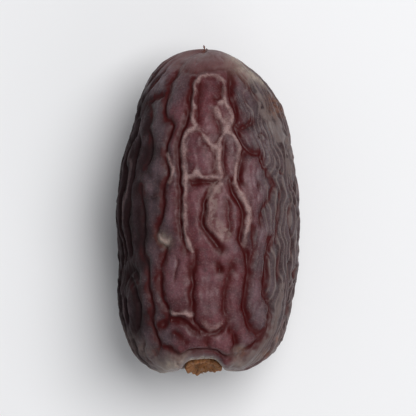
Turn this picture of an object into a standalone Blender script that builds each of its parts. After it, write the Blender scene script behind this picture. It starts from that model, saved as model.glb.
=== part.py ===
"""A large soft dried date lying on its side, as picked and with its stalk pulled off.

The fruit lies along Y, its blossom end with the dried style at +Y and its stem end at -Y. Z is up, and the
fruit rests on a small flat spot at z = 0. There are two solids: the fruit, whose skin has shrunk into plates,
creases and narrow raised folds, and the woody remains of the calyx in the hollow of its stem end.

Sizes and places are in millimetres, and mesh_object turns them into metres.
"""

import bmesh
import bpy
import numpy as np

MM = 0.001

# Driving dimensions of the fruit
WIDTH = 27.3
HEIGHT = 25.6
WIDEST_Y = -2.9
TIP_Y = 24.8
STEM_Y = -24.1
SQUARENESS = 2.12
TIP_POWER, TIP_ROOT = 2.5, 2.15
STEM_POWER, STEM_ROOT = 3.2, 4.8
STEM_RISE = 2.2
BEND = 0.0013
BEND_Y = 8.0
BEND_X = 0.3
SUNK = 1.1

# The skin is worked out on a grid of rows along the fruit and columns round it
COLUMNS = 480
ROWS = 206
MERIDIAN_SAMPLES = 4000

# Folds of the skin away from the lines drawn below
FOLD_WIDTH = 2.8
FOLD_LENGTH = 9.0
FOLD_STRAIGHTNESS = 0.35
FOLD_ROWS = 264
FOLD_STEPS = 160
FOLD_SEED = 3
STEER_FOLD, STEER_GROOVE = 0.6, 1.2
WANDER, WANDER_SIZE = 1.1, 9.0
SHAKE, SHAKE_SIZE = 0.35, 3.0
DRIFT = 1.5
GROOVE_DEPTH = 0.52
GROOVE_START, GROOVE_WIDTH, GROOVE_SHAPE = 0.1, 0.7, 1.2
NARROW_START, NARROW_END = 0.15, 0.8
DOME_HEIGHT, DOME_EDGE = 0.14, 1.1
LUMP_HEIGHT, LUMP_SIZE = 0.22, 13.0
CRINKLE, CRINKLE_SIZE = 0.09, 2.6

# Lines drawn on the side that faces up: raised folds and creases, as places seen from above
FOLD_HEIGHT, FOLD_HALF_WIDTH = 0.32, 0.36
BROAD_HEIGHT, BROAD_HALF_WIDTH = 0.4, 0.75
CREASE_DEPTH, CREASE_HALF_WIDTH = 0.52, 0.5
SHALLOW_DEPTH, SHALLOW_HALF_WIDTH = 0.26, 0.42
DRAWN_REACH, DRAWN_FADE = 1.5, 1.6
LINE_STEPS = 4
LINE_REACH = 3.5
LINE_ROUNDNESS = 1.6
LINE_END, LINE_END_SHARE = 0.08, 0.35

RAISED_FOLDS = {
    "arch": [(-1.8, 12.9), (-2.1, 14.2), (-2.0, 16.0), (-1.8, 18.0), (-1.6, 19.8), (-1.0, 20.7), (0.3, 20.9),
             (1.6, 20.6), (2.4, 19.9), (2.7, 18.6), (2.7, 17.4), (2.9, 16.4), (3.7, 15.3), (4.1, 14.6),
             (3.8, 13.8), (3.2, 13.0), (2.7, 12.1)],
    "loop_in_arch": [(2.8, 16.7), (2.0, 16.6), (1.5, 16.0), (1.6, 15.0), (1.9, 14.0), (2.2, 13.0), (2.6, 12.2)],
    "left_rail": [(-1.8, 12.9), (-2.6, 12.1), (-3.3, 11.2), (-3.6, 10.0), (-3.5, 8.6), (-3.3, 7.0), (-3.2, 5.2),
                  (-3.3, 3.0), (-3.3, 1.0), (-3.3, -1.4), (-3.0, -3.2), (-2.6, -4.8), (-2.2, -6.0)],
    "slant_rung": [(-1.8, 12.7), (-1.0, 12.0), (-0.2, 10.9), (0.4, 10.3), (1.2, 10.0), (1.9, 10.2)],
    "middle_rail": [(2.6, 12.1), (2.3, 11.2), (2.0, 10.0), (1.8, 9.0), (1.7, 7.6), (1.7, 6.2), (1.9, 5.1)],
    "right_rail": [(2.7, 12.1), (3.7, 11.8), (4.6, 10.8), (5.1, 9.4), (4.8, 8.0), (4.4, 6.6), (4.2, 5.0),
                   (4.4, 3.8), (5.0, 2.7), (5.7, 1.5), (6.1, 0.3), (6.2, -1.0), (6.0, -2.4), (5.8, -3.8),
                   (5.8, -5.4)],
    "level_rung": [(-3.2, 5.1), (-2.4, 5.3), (-1.6, 5.9), (-0.9, 5.3), (0.2, 5.2), (1.8, 5.1)],
    "left_flash": [(-6.2, 8.8), (-5.8, 7.7), (-5.3, 6.9), (-5.3, 6.0), (-5.6, 4.5)],
    "left_knee": [(-7.3, -3.6), (-6.6, -4.2), (-5.9, -4.7)],
    "left_shelf": [(-5.4, -15.2), (-4.2, -15.5), (-2.5, -15.4)],
    "patch_edge": [(2.3, 4.2), (1.2, 3.6), (0.5, 2.4), (0.3, 0.8), (0.1, -0.8), (0.3, -2.2), (1.0, -3.2),
                   (2.2, -3.9)],
    "finger_end": [(-0.6, -16.8), (0.3, -17.5), (1.4, -17.6), (2.2, -17.0)],
}

BROAD_FOLDS = {
    "tip_shoulder": [(3.8, 23.6), (4.7, 22.5), (6.0, 21.4), (7.4, 20.4), (8.7, 19.3)],
    "right_flank_inner": [(8.2, 17.6), (8.8, 15.6), (9.8, 13.2), (11.0, 10.8), (12.1, 8.4), (13.0, 6.0)],
    "right_flank_outer": [(10.6, 14.4), (11.9, 11.8), (12.9, 9.0)],
    "arch_stalk": [(3.0, 14.0), (2.9, 13.2), (2.7, 12.4)],
    "stem_lip_right": [(4.0, -23.5), (5.6, -22.9), (7.0, -21.4), (8.2, -19.8), (9.6, -17.8), (10.6, -15.6),
                       (11.3, -13.2), (11.7, -11.6)],
    "stem_lip_left": [(-9.4, -23.6), (-7.6, -24.0), (-5.8, -23.5), (-4.2, -23.0)],
}

CREASES = {
    "outside_left_rail": [(-2.2, 20.4), (-2.4, 18.6), (-2.6, 16.4), (-2.8, 14.8), (-3.3, 13.2), (-3.9, 11.9),
                          (-4.3, 10.2), (-4.3, 8.2), (-4.2, 6.2), (-4.1, 4.0), (-4.1, 2.0), (-4.0, 0.4),
                          (-4.0, -1.0), (-3.8, -2.6), (-3.5, -4.2), (-3.0, -5.6)],
    "left_column_top": [(-4.2, 22.9), (-4.8, 21.4), (-5.7, 20.2), (-6.1, 18.6), (-6.3, 17.0), (-6.5, 15.4),
                        (-6.3, 14.3), (-5.6, 13.8), (-5.2, 13.0), (-5.6, 12.0), (-6.1, 10.8), (-6.4, 9.4),
                        (-6.3, 8.2), (-6.0, 7.0), (-6.0, 5.6), (-6.5, 4.0), (-6.8, 2.2), (-6.8, 0.4),
                        (-7.2, -1.2), (-7.7, -2.4), (-7.9, -3.6), (-7.3, -4.6)],
    "left_column_low": [(-7.3, -4.6), (-6.4, -5.4), (-6.5, -6.8), (-6.9, -8.4), (-7.1, -10.0), (-6.8, -12.0),
                        (-6.4, -13.8), (-5.9, -15.4), (-6.3, -16.8), (-7.5, -17.4)],
    "outside_right_rail": [(3.6, 21.2), (3.7, 19.6), (3.8, 18.0), (4.2, 16.4), (4.8, 15.0), (4.5, 13.9),
                           (4.2, 13.0), (4.8, 11.7), (5.5, 10.4), (6.4, 9.4), (7.3, 9.1), (8.1, 8.5),
                           (8.5, 7.0), (9.2, 5.4), (10.1, 4.3)],
    "right_spur": [(4.5, 13.2), (5.5, 12.9), (6.4, 13.3), (7.0, 14.0)],
    "right_plate_left": [(5.7, 9.4), (5.4, 8.2), (5.0, 6.8), (4.8, 5.4), (5.0, 4.2)],
    "right_column": [(3.5, 5.0), (3.6, 3.8), (4.1, 2.6), (4.8, 1.4), (5.3, 0.2), (5.4, -1.4), (5.1, -3.0),
                     (5.2, -4.6), (5.8, -6.2), (6.2, -7.8), (6.3, -9.2), (6.0, -10.8), (5.8, -12.6),
                     (5.7, -14.2), (5.9, -15.8), (6.5, -17.4), (7.5, -18.5), (8.3, -18.3)],
    "under_level_rung": [(-2.7, 4.4), (-1.0, 4.5), (0.4, 4.4), (1.7, 4.2)],
    "patch_left": [(0.9, 3.6), (0.0, 2.4), (-0.4, 0.8), (-0.6, -1.0), (-0.3, -2.6), (0.6, -3.9), (1.5, -4.8),
                   (2.2, -5.8)],
    "pinch": [(1.8, -8.4), (2.3, -8.8)],
    "middle_finger": [(-2.2, -8.4), (-2.3, -9.6), (-2.3, -11.2), (-2.3, -13.0), (-2.2, -15.0),
                      (-1.9, -16.6), (-0.9, -17.9), (0.4, -18.3), (1.6, -18.2), (2.6, -17.6), (3.0, -16.2)],
    "right_flank": [(9.6, -4.0), (9.1, -6.4), (8.9, -8.4), (8.8, -10.6), (8.8, -12.4), (9.4, -14.2),
                    (9.5, -16.0), (8.9, -17.8)],
    "left_flank": [(-9.8, 4.0), (-9.8, 1.0), (-9.7, -2.0), (-9.9, -4.6), (-9.8, -6.4), (-9.1, -7.8),
                   (-8.8, -9.6), (-8.6, -11.6), (-8.2, -13.4), (-8.4, -15.2), (-8.4, -17.0), (-8.1, -18.6),
                   (-7.4, -20.4), (-8.0, -21.6)],
    "left_edge": [(-12.5, -10.8), (-12.2, -9.6), (-11.6, -9.0), (-10.8, -9.3), (-10.3, -10.4)],
    "left_edge_low": [(-11.9, -9.8), (-11.1, -11.2), (-10.4, -13.0), (-10.0, -14.8), (-10.3, -16.6),
                      (-10.9, -18.2)],
    "left_shoulder": [(-9.2, 12.8), (-8.6, 10.6), (-8.8, 8.6), (-9.4, 6.8)],
    "left_shoulder_bar": [(-8.8, 16.8), (-8.1, 17.3), (-7.4, 17.7), (-6.4, 18.1)],
    "stem_arc": [(-7.4, -20.4), (-5.8, -20.9), (-4.6, -21.7), (-3.2, -22.2), (-1.4, -22.3), (0.6, -22.3),
                 (2.6, -22.2), (4.4, -22.0), (6.0, -21.0), (7.4, -20.0), (8.4, -18.8)],
    "under_left_shelf": [(-5.9, -16.2), (-4.2, -16.2), (-3.0, -16.8), (-2.0, -17.9), (-1.0, -18.4)],
    "stem_right": [(3.5, -17.4), (4.1, -18.8), (4.3, -20.2), (4.3, -21.8)],
}

SHALLOW_CREASES = {
    "middle_finger_right": [(3.0, -16.2), (2.6, -14.6), (2.6, -13.0), (2.9, -11.2), (3.5, -9.4), (4.0, -7.8)],
    "right_seam": [(6.8, -2.2), (7.0, -5.0), (6.7, -8.0), (6.3, -9.6)],
    "tip_cap_edge": [(-4.0, 22.4), (-3.2, 21.6), (-2.0, 21.4), (-0.4, 21.8), (1.2, 21.8), (2.8, 21.8),
                     (4.2, 21.8), (5.2, 20.8), (6.2, 19.7), (7.2, 18.6), (7.8, 17.5)],
    "left_cell": [(-0.2, 10.1), (0.9, 9.5), (1.2, 8.4), (1.2, 7.0), (1.1, 5.9)],
    "right_cell": [(2.7, 10.4), (2.5, 8.8), (2.4, 7.0), (2.5, 5.2)],
    "arch_left": [(-1.1, 19.6), (-1.2, 17.6), (-1.4, 15.6), (-1.4, 13.6)],
    "arch_right": [(1.1, 15.2), (1.4, 13.8), (1.8, 12.4), (1.9, 11.2), (1.5, 10.6)],
    "arch_squiggle": [(2.0, 19.2), (2.2, 18.2), (2.0, 17.4), (1.2, 17.0)],
    "right_plate_right": [(10.1, 4.3), (9.7, 2.6), (8.9, 1.2), (8.2, 0.0), (8.1, -1.6)],
    "patch_right": [(3.0, 1.6), (3.1, -0.6), (3.3, -2.2), (3.2, -3.4)],
    "middle_finger_top": [(-1.8, -5.8), (-1.7, -7.0), (-2.1, -8.2)],
    "stem_middle": [(0.2, -18.6), (-0.1, -20.0), (0.2, -21.2), (0.0, -22.2)],
    "stem_left": [(-5.0, -18.6), (-3.9, -19.0), (-3.3, -19.8)],
    "left_shoulder_fork": [(-8.9, 16.6), (-8.4, 15.4), (-8.6, 14.2), (-9.2, 12.8)],
    "right_flank_top": [(11.4, 3.4), (11.0, 0.6), (10.8, -2.2), (10.6, -4.6)],
    "right_flank_low": [(11.2, -5.6), (10.9, -8.0), (11.0, -10.4)],
}

# The hollow of the stem end, which faces a little upwards and is open at its top
HOLLOW_X, HOLLOW_Y, HOLLOW_Z = -0.7, -23.5, 15.0
HOLLOW_TILT = np.radians(22.0)
HOLLOW_FLOOR = -1.15
HOLLOW_START, HOLLOW_END = 2.85, 3.6
NOTCH_DEPTH, NOTCH_HALF_WIDTH = 1.6, 3.0
NOTCH_LOW, NOTCH_HIGH = 12.5, 18.0
NOTCH_START, NOTCH_FULL = 19.5, 23.2
STEM_START, STEM_FULL = 14.0, 21.0
LOBE_HEIGHT, LOBE_RADIUS, LOBE_WIDTH = 0.3, 6.4, 2.0

# What the calyx left in the hollow: a torn woody disc with a stub of the stalk in its middle
CALYX_COLUMNS, CALYX_STEPS = 36, 3
CALYX_PROFILE = [(0.0, -0.75), (1.3, -0.75), (2.3, -0.65), (2.8, -0.2), (2.7, 0.4), (2.2, 0.45), (1.5, 0.0),
                 (0.9, 0.15), (0.6, 0.75), (0.0, 0.85)]
CALYX_LOBES = 0.09
CALYX_TEETH = 0.22

# The smooth cap round the blossom end, and the dried style on it
CAP_RADIUS = 6.2
CAP_EDGE = 2.4
STYLE_LENGTH, STYLE_RADIUS = 0.85, 0.3

# The flat spot that the fruit rests on, and how gently the skin leaves the floor round it
RESTING_SPOT = [(4.4, -8.6), (4.4, -1.6), (0.2, 4.6), (-4.4, -1.6), (-4.4, -8.6), (0.0, -13.8)]
LEAVING_SLOPE = 0.07
BLOCK_REACH, BLOCK_TOP = 30.0, 45.0

# Faceted solids
FRUIT_TRIANGLES = 10000


def grid_steps():
    """How far apart the grid's columns and rows are at the fruit's middle."""
    return np.pi * (WIDTH + HEIGHT) / 2 / COLUMNS, meridian()[2] / (ROWS - 1)


def half_width_share(y):
    """The fruit's half-width at y as a share of its widest, from a power curve for each end."""
    to_tip = np.clip((y - WIDEST_Y) / (TIP_Y - WIDEST_Y), 0, 1)
    to_stem = np.clip((WIDEST_Y - y) / (WIDEST_Y - STEM_Y), 0, 1)
    tip = (1 - to_tip**TIP_POWER) ** (1 / TIP_ROOT)
    stem = (1 - to_stem**STEM_POWER) ** (1 / STEM_ROOT)
    return np.where(y > WIDEST_Y, tip, stem)


def meridian():
    """(y, share of the width, whole length) in even steps along a line from the stem end to the tip."""
    angle = np.linspace(0, np.pi, MERIDIAN_SAMPLES)
    middle, reach = (TIP_Y + STEM_Y) / 2, (TIP_Y - STEM_Y) / 2
    y = middle - reach * np.cos(angle)
    share = half_width_share(y)
    radius = share * (WIDTH + HEIGHT) / 4
    run = np.concatenate([[0], np.cumsum(np.hypot(np.diff(y), np.diff(radius)))])
    even = np.linspace(0, run[-1], ROWS)
    return np.interp(even, run, y), np.interp(even, run, share), run[-1]


def bend(y):
    """How far the fruit's middle line stands to the side at y: a shallow parabola."""
    return BEND_X - BEND * (y - BEND_Y) ** 2


def middle_height(y):
    """How high the fruit's middle line is at y: level, and then rising to the stem end."""
    to_stem = np.clip((WIDEST_Y - y) / (WIDEST_Y - STEM_Y), 0, 1)
    return HEIGHT / 2 - SUNK + STEM_RISE * to_stem**5


def smooth_skin():
    """The fruit before it shrank: rows by columns of points, with a slightly squared oval for its section."""
    y, share, _ = meridian()
    turn = np.linspace(0, 2 * np.pi, COLUMNS, endpoint=False)
    out = (np.abs(np.cos(turn)) ** SQUARENESS + np.abs(np.sin(turn)) ** SQUARENESS) ** (-1 / SQUARENESS)
    x = bend(y)[:, None] + WIDTH / 2 * share[:, None] * out * np.cos(turn)
    z = middle_height(y)[:, None] + HEIGHT / 2 * share[:, None] * out * np.sin(turn)
    return np.stack([x, np.broadcast_to(y[:, None], x.shape), z], axis=-1)


def laid_on_top(places):
    """Places seen from above, put on the upper half of the smooth skin."""
    x, y = np.array(places, float).T
    share = half_width_share(y)
    across = np.clip((x - bend(y)) / (WIDTH / 2 * np.maximum(share, 1e-3)), -0.99, 0.99)
    up = (1 - np.abs(across) ** SQUARENESS) ** (1 / SQUARENESS)
    return np.stack([x, y, middle_height(y) + HEIGHT / 2 * share * up], axis=-1)


def smooth_line(points, steps=LINE_STEPS):
    """A Catmull-Rom curve through the points, with so many steps between two of them."""
    p = np.concatenate([[2 * points[0] - points[1]], points, [2 * points[-1] - points[-2]]])
    t = (np.arange(steps) / steps)[:, None, None]
    a, b, c, d = p[:-3], p[1:-2], p[2:-1], p[3:]
    runs = 0.5 * (2 * b + (c - a) * t + (2 * a - 5 * b + 4 * c - d) * t**2 + (3 * b - a - 3 * c + d) * t**3)
    return np.concatenate([runs.transpose(1, 0, 2).reshape(-1, points.shape[1]), points[-1:]])


def line_distance(skin, line, reach=LINE_REACH):
    """Each skin point's distance to the line, and its share of the way along it, where it is within reach."""
    near = np.full(skin.shape[:2], reach)
    along = np.zeros(skin.shape[:2])
    low, high = line.min(axis=0) - reach, line.max(axis=0) + reach
    rows, columns = np.nonzero(((skin > low) & (skin < high)).all(axis=-1))
    points = skin[rows, columns]
    best = np.full(len(points), reach)
    share = np.zeros(len(points))
    for i, (start, end) in enumerate(zip(line[:-1], line[1:])):
        run = end - start
        t = np.clip((points - start) @ run / (run @ run), 0, 1)
        far = np.linalg.norm(points - start - t[:, None] * run, axis=1)
        closer = far < best
        best[closer] = far[closer]
        share[closer] = (i + t[closer]) / (len(line) - 1)
    near[rows, columns], along[rows, columns] = best, share
    return near, along


def drawn(skin, lines, half_width):
    """How strongly any of the lines marks each skin point, 0 to 1, and the distance to the nearest line."""
    mark = np.zeros(skin.shape[:2])
    nearest = np.full(skin.shape[:2], LINE_REACH)
    for places in lines.values():
        line = smooth_line(laid_on_top(places))
        far, along = line_distance(skin, line)
        ends = np.clip(np.minimum(along, 1 - along) / LINE_END, LINE_END_SHARE, 1)
        mark = np.maximum(mark, ends * np.exp(-((far / half_width) ** LINE_ROUNDNESS)))
        nearest = np.minimum(nearest, far)
    return mark, nearest


def waves(shape):
    """Wave numbers round and along the grid, in radians per millimetre."""
    across, length = grid_steps()
    round_it = 2 * np.pi * np.fft.fftfreq(shape[1], across)
    along_it = 2 * np.pi * np.fft.fftfreq(shape[0], length)
    return round_it[None, :], along_it[:, None]


def blurred_noise(seed, size):
    """Seeded noise over the grid, blurred to lumps of the given size, with a spread of 1."""
    shape = (FOLD_ROWS, COLUMNS)
    round_it, along_it = waves(shape)
    keep = np.exp(-(round_it**2 + along_it**2) * (size / (2 * np.pi)) ** 2)
    noise = np.random.default_rng(seed).standard_normal(shape)
    blurred = np.fft.ifft2(np.fft.fft2(noise) * keep).real
    return blurred / blurred.std()


def buckled(width, length, seed, push):
    """The pattern that a skin buckles into as what is under it shrinks: ridges about `width` apart that run
    along the fruit for about `length`, from the Swift-Hohenberg equation. push makes ridges (+) and grooves (-).
    """
    shape = (FOLD_ROWS, COLUMNS)
    round_it, along_it = waves(shape)
    u = round_it * width / (2 * np.pi)
    v = along_it * length / (2 * np.pi)
    grow = 0.7 - (1 - u**2 - v**2) ** 2 - FOLD_STRAIGHTNESS * v**2
    pushed = np.zeros(shape)
    pushed[:ROWS] = push
    height = 0.3 * np.random.default_rng(seed).standard_normal(shape)
    for _ in range(FOLD_STEPS):
        curbed = np.fft.fft2(pushed - height**3)
        height = np.fft.ifft2((np.fft.fft2(height) + 0.5 * curbed) / (1 - 0.5 * grow)).real
    return height


def moved(field, sideways, lengthways):
    """The field read at places moved by so many millimetres, with a straight blend between grid points."""
    across, length = grid_steps()
    rows, columns = field.shape
    row, column = np.mgrid[0:rows, 0:columns]
    x = (column + sideways / across) % columns
    y = (row + lengthways / length) % rows
    x0, y0 = np.floor(x).astype(int), np.floor(y).astype(int)
    fx, fy = x - x0, y - y0
    x0, y0 = x0 % columns, y0 % rows
    x1, y1 = (x0 + 1) % columns, (y0 + 1) % rows
    low = field[y0, x0] * (1 - fx) + field[y0, x1] * fx
    high = field[y1, x0] * (1 - fx) + field[y1, x1] * fx
    return low * (1 - fy) + high * fy


def fade(value, start, end):
    """0 before start, 1 after end, smooth between."""
    t = np.clip((value - start) / (end - start), 0, 1)
    return t * t * (3 - 2 * t)


def relief(skin):
    """How far the dried skin stands above the smooth one at each point of the grid."""
    crinkle = np.stack([blurred_noise(seed, CRINKLE_SIZE)[:ROWS] for seed in (31, 32, 33)], axis=-1)
    crinkled = skin + CRINKLE * crinkle
    folds, to_fold = drawn(crinkled, RAISED_FOLDS, FOLD_HALF_WIDTH)
    broad, to_broad = drawn(crinkled, BROAD_FOLDS, BROAD_HALF_WIDTH)
    creases, to_crease = drawn(crinkled, CREASES, CREASE_HALF_WIDTH)
    shallow, to_shallow = drawn(crinkled, SHALLOW_CREASES, SHALLOW_HALF_WIDTH)
    to_line = np.minimum.reduce([to_fold, to_crease, to_broad, to_shallow])
    by_hand = 1 - fade(to_line, DRAWN_REACH, DRAWN_REACH + DRAWN_FADE)
    domes = 1 - np.exp(-((to_line / DOME_EDGE) ** 2))
    own = FOLD_HEIGHT * folds + BROAD_HEIGHT * broad + DOME_HEIGHT * domes
    own -= np.maximum(CREASE_DEPTH * creases, SHALLOW_DEPTH * shallow)

    steered = STEER_FOLD * (folds + broad) - STEER_GROOVE * creases
    pattern = buckled(FOLD_WIDTH, FOLD_LENGTH, FOLD_SEED, steered)
    loose = np.ones((FOLD_ROWS, COLUMNS))
    loose[:ROWS] = 1 - by_hand
    sideways = loose * (WANDER * blurred_noise(11, WANDER_SIZE) + SHAKE * blurred_noise(12, SHAKE_SIZE))
    pattern = moved(pattern, sideways, loose * DRIFT * blurred_noise(13, WANDER_SIZE))[:ROWS]
    grooves = np.clip((-GROOVE_START - pattern) / GROOVE_WIDTH, 0, 1) ** GROOVE_SHAPE
    others = DOME_HEIGHT * np.clip(pattern, 0, 1) - GROOVE_DEPTH * grooves
    others *= fade(meridian()[1], NARROW_START, NARROW_END)[:, None]

    height = by_hand * own + (1 - by_hand) * others
    return height * roughness_left(skin) + LUMP_HEIGHT * blurred_noise(41, LUMP_SIZE)[:ROWS]


def roughness_left(skin):
    """The share of the relief that is left: little on the tip's cap, in the hollow and on the resting spot."""
    tip = np.array([bend(TIP_Y), TIP_Y, middle_height(TIP_Y)])
    tip_part = 0.1 + 0.9 * fade(np.linalg.norm(skin - tip, axis=-1), CAP_RADIUS - CAP_EDGE, CAP_RADIUS)
    under = np.hypot(skin[..., 0] / 7.0, (skin[..., 1] - WIDEST_Y) / 12.0)
    under_part = np.where(skin[..., 2] < HEIGHT / 2, 0.1 + 0.9 * fade(under, 0.6, 1.15), 1)
    _, aside, _ = in_hollow(skin)
    stem_part = np.where(skin[..., 1] < 0, 0.05 + 0.95 * fade(aside, HOLLOW_START, HOLLOW_END + 1), 1)
    return tip_part * under_part * stem_part


def normals(points):
    """Outward unit normals of a grid of points that closes round."""
    round_it = np.roll(points, -1, axis=1) - np.roll(points, 1, axis=1)
    along_it = np.gradient(points, axis=0)
    normal = np.cross(round_it, along_it)
    normal /= np.maximum(np.linalg.norm(normal, axis=-1, keepdims=True), 1e-12)
    centre = points.mean(axis=(0, 1))
    return normal * np.sign(((points - centre) * normal).sum(axis=-1).mean())


def hollow_axes():
    """(mouth, sideways, up the mouth, out of it): the hollow's own axes."""
    mouth = np.array([HOLLOW_X, HOLLOW_Y, HOLLOW_Z])
    sideways = np.array([1.0, 0.0, 0.0])
    up = np.array([0.0, np.sin(HOLLOW_TILT), np.cos(HOLLOW_TILT)])
    return mouth, sideways, up, np.cross(sideways, up)


def in_hollow(points):
    """(how far out of the mouth, how far from its axis, direction round the axis) of each point."""
    mouth, sideways, up, out = hollow_axes()
    across, rise = (points - mouth) @ sideways, (points - mouth) @ up
    return (points - mouth) @ out, np.hypot(across, rise), np.arctan2(rise, across)


def stem_end(points):
    """The points with the stem end drawn in at its top, lobed at both sides and hollowed in its middle."""
    x, y, z = points[..., 0], points[..., 1], points[..., 2]
    end = fade(-y, STEM_START, STEM_FULL)
    notch = NOTCH_DEPTH * fade(z, NOTCH_LOW, NOTCH_HIGH) * fade(-y, NOTCH_START, NOTCH_FULL)
    notch *= np.exp(-(((x - HOLLOW_X) / NOTCH_HALF_WIDTH) ** 6))
    _, aside, turn = in_hollow(points)
    lobes = 0.5 + 0.35 * np.cos(2 * turn) + 0.15 * np.cos(5 * turn + 1.0)
    lobes = LOBE_HEIGHT * lobes * np.exp(-(((aside - LOBE_RADIUS) / LOBE_WIDTH) ** 2))
    points = points + np.stack([0 * y, notch - lobes * end, 0 * y], axis=-1)
    along, aside, _ = in_hollow(points)
    sunk = (HOLLOW_FLOOR - along) * (1 - fade(aside, HOLLOW_START, HOLLOW_END)) * end
    return points + sunk[..., None] * hollow_axes()[3]


def with_style(points):
    """The points with the dried style drawn out of the tip as a small cone."""
    tip = np.array([bend(TIP_Y) - 0.4, middle_height(TIP_Y)])
    aside = np.hypot(points[..., 0] - tip[0], points[..., 2] - tip[1])
    out = STYLE_LENGTH * np.exp(-((aside / STYLE_RADIUS) ** 2)) * (points[..., 1] > 0)
    return points + out[..., None] * np.array([0.0, 1.0, 0.0])


def fruit_skin():
    """The finished skin of the fruit as rows by columns of points."""
    skin = smooth_skin()
    points = skin + relief(skin)[..., None] * normals(skin)
    return with_style(stem_end(points))


def calyx_skin():
    """The calyx's remains: a profile turned round the hollow's axis, its rim three-lobed and torn into teeth."""
    profile = smooth_line(np.array(CALYX_PROFILE), CALYX_STEPS)
    turn = np.linspace(0, 2 * np.pi, CALYX_COLUMNS, endpoint=False)
    radius, out = profile[:, :1], profile[:, 1:]
    rim = (radius / radius.max()) ** 3
    lobed = radius * (1 + CALYX_LOBES * np.cos(3 * turn + 0.5) * rim)
    torn = CALYX_TEETH * (np.cos(3 * turn + 0.5) + 0.6 * np.cos(7 * turn) + 0.5 * np.cos(11 * turn + 2))
    out = out + rim * torn * (out > 0)
    mouth, sideways, up, outwards = hollow_axes()
    across = (lobed * np.cos(turn))[..., None] * sideways + (lobed * np.sin(turn))[..., None] * up
    return mouth + across + out[..., None] * outwards


def closed_grid(points):
    """(points, faces) of a grid closed round, with its first and last row drawn together to one point each."""
    rows, columns = points.shape[:2]
    poles = points[[0, -1]].mean(axis=1)
    inner = points[1:-1].reshape(-1, 3)
    row, column = np.mgrid[0 : rows - 3, 0:columns]
    beside = (column + 1) % columns
    quads = np.stack([row * columns + column, (row + 1) * columns + column, (row + 1) * columns + beside,
                      row * columns + beside], axis=-1).reshape(-1, 4)
    ring = np.arange(columns)
    last = (rows - 3) * columns
    low = np.stack([np.full(columns, len(inner)), ring, (ring + 1) % columns], axis=-1)
    high = np.stack([np.full(columns, len(inner) + 1), last + (ring + 1) % columns, last + ring], axis=-1)
    return np.concatenate([inner, poles]), [*quads.tolist(), *low.tolist(), *high.tolist()]


def make_material(name, colour, roughness):
    material = bpy.data.materials.new(name)
    material.use_nodes = True
    shader = material.node_tree.nodes["Principled BSDF"]
    shader.inputs["Base Color"].default_value = (*colour, 1.0)
    shader.inputs["Roughness"].default_value = roughness
    shader.inputs["Metallic"].default_value = 0.0
    return material


def mesh_object(name, points, material):
    """A closed grid of points in millimetres made an object in metres, shaded smooth, with outward faces."""
    corners, faces = closed_grid(points)
    mesh = bpy.data.meshes.new(name)
    mesh.from_pydata((corners * MM).tolist(), [], faces)
    mesh.shade_smooth()
    mesh.materials.append(material)
    item = bpy.data.objects.new(name, mesh)
    bpy.context.scene.collection.objects.link(item)
    bm = bmesh.new()
    bm.from_mesh(mesh)
    bmesh.ops.recalc_face_normals(bm, faces=bm.faces)
    bmesh.ops.triangulate(bm, faces=bm.faces)
    bm.to_mesh(mesh)
    bm.free()
    return item


def resting_block():
    """A block whose flat bottom is the resting spot and whose lower sides rise gently from the spot's edges."""
    spot = np.array(RESTING_SPOT)
    edges = np.roll(spot, -1, axis=0) - spot
    outward = np.stack([edges[:, 1], -edges[:, 0]], axis=-1) / np.linalg.norm(edges, axis=1, keepdims=True)
    before = np.roll(outward, 1, axis=0)
    away = (outward + before) / (1 + (outward * before).sum(axis=1, keepdims=True))
    wide = spot + BLOCK_REACH * away
    rings = [(spot, 0.0), (wide, BLOCK_REACH * LEAVING_SLOPE), (wide, BLOCK_TOP)]
    corners = [(x * MM, y * MM, z * MM) for ring, z in rings for x, y in ring]
    count = len(spot)
    faces = [tuple(range(count))[::-1], tuple(range(2 * count, 3 * count))]
    for low in (0, count):
        faces += [(low + i, low + (i + 1) % count, low + count + (i + 1) % count, low + count + i)
                  for i in range(count)]
    mesh = bpy.data.meshes.new("resting block")
    mesh.from_pydata(corners, [], faces)
    block = bpy.data.objects.new("resting block", mesh)
    bpy.context.scene.collection.objects.link(block)
    return block


def corner_places(mesh):
    places = np.empty(len(mesh.vertices) * 3, dtype=np.float32)
    mesh.vertices.foreach_get("co", places)
    return places.reshape(-1, 3)


def place_corners(mesh, places):
    mesh.vertices.foreach_set("co", places.ravel())
    mesh.update()


def apply_modifiers(item):
    item.data = bpy.data.meshes.new_from_object(item.evaluated_get(bpy.context.evaluated_depsgraph_get()))
    item.modifiers.clear()


def thin_out(item, triangles):
    """Merges the object's smallest facets until so many are left."""
    decimate = item.modifiers.new("Fewer facets", "DECIMATE")
    decimate.ratio = triangles / len(item.data.polygons)
    apply_modifiers(item)


def rest_on_floor(item):
    """Cuts off what is under the floor, which leaves the resting spot flat at z = 0."""
    block = resting_block()
    cut = item.modifiers.new("Resting spot", "BOOLEAN")
    cut.operation = "INTERSECT"
    cut.solver = "EXACT"
    cut.object = block
    apply_modifiers(item)
    bpy.data.objects.remove(block)


def centre_over_origin(items):
    """Shifts the objects together along X and Y until the origin is under the middle of their box."""
    places = [corner_places(item.data) for item in items]
    everything = np.concatenate(places)
    middle = (everything.min(axis=0) + everything.max(axis=0)) / 2
    middle[2] = 0.0
    for item, own in zip(items, places):
        place_corners(item.data, own - middle)


def main():
    for item in list(bpy.data.objects):
        bpy.data.objects.remove(item)
    skin_finish = make_material("date skin", (0.075, 0.030, 0.034), 0.42)
    wood_finish = make_material("dry calyx wood", (0.38, 0.16, 0.045), 0.8)
    fruit = mesh_object("fruit", fruit_skin(), skin_finish)
    thin_out(fruit, FRUIT_TRIANGLES)
    rest_on_floor(fruit)
    calyx = mesh_object("calyx_remnant", calyx_skin(), wood_finish)
    centre_over_origin([fruit, calyx])


main()
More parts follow.
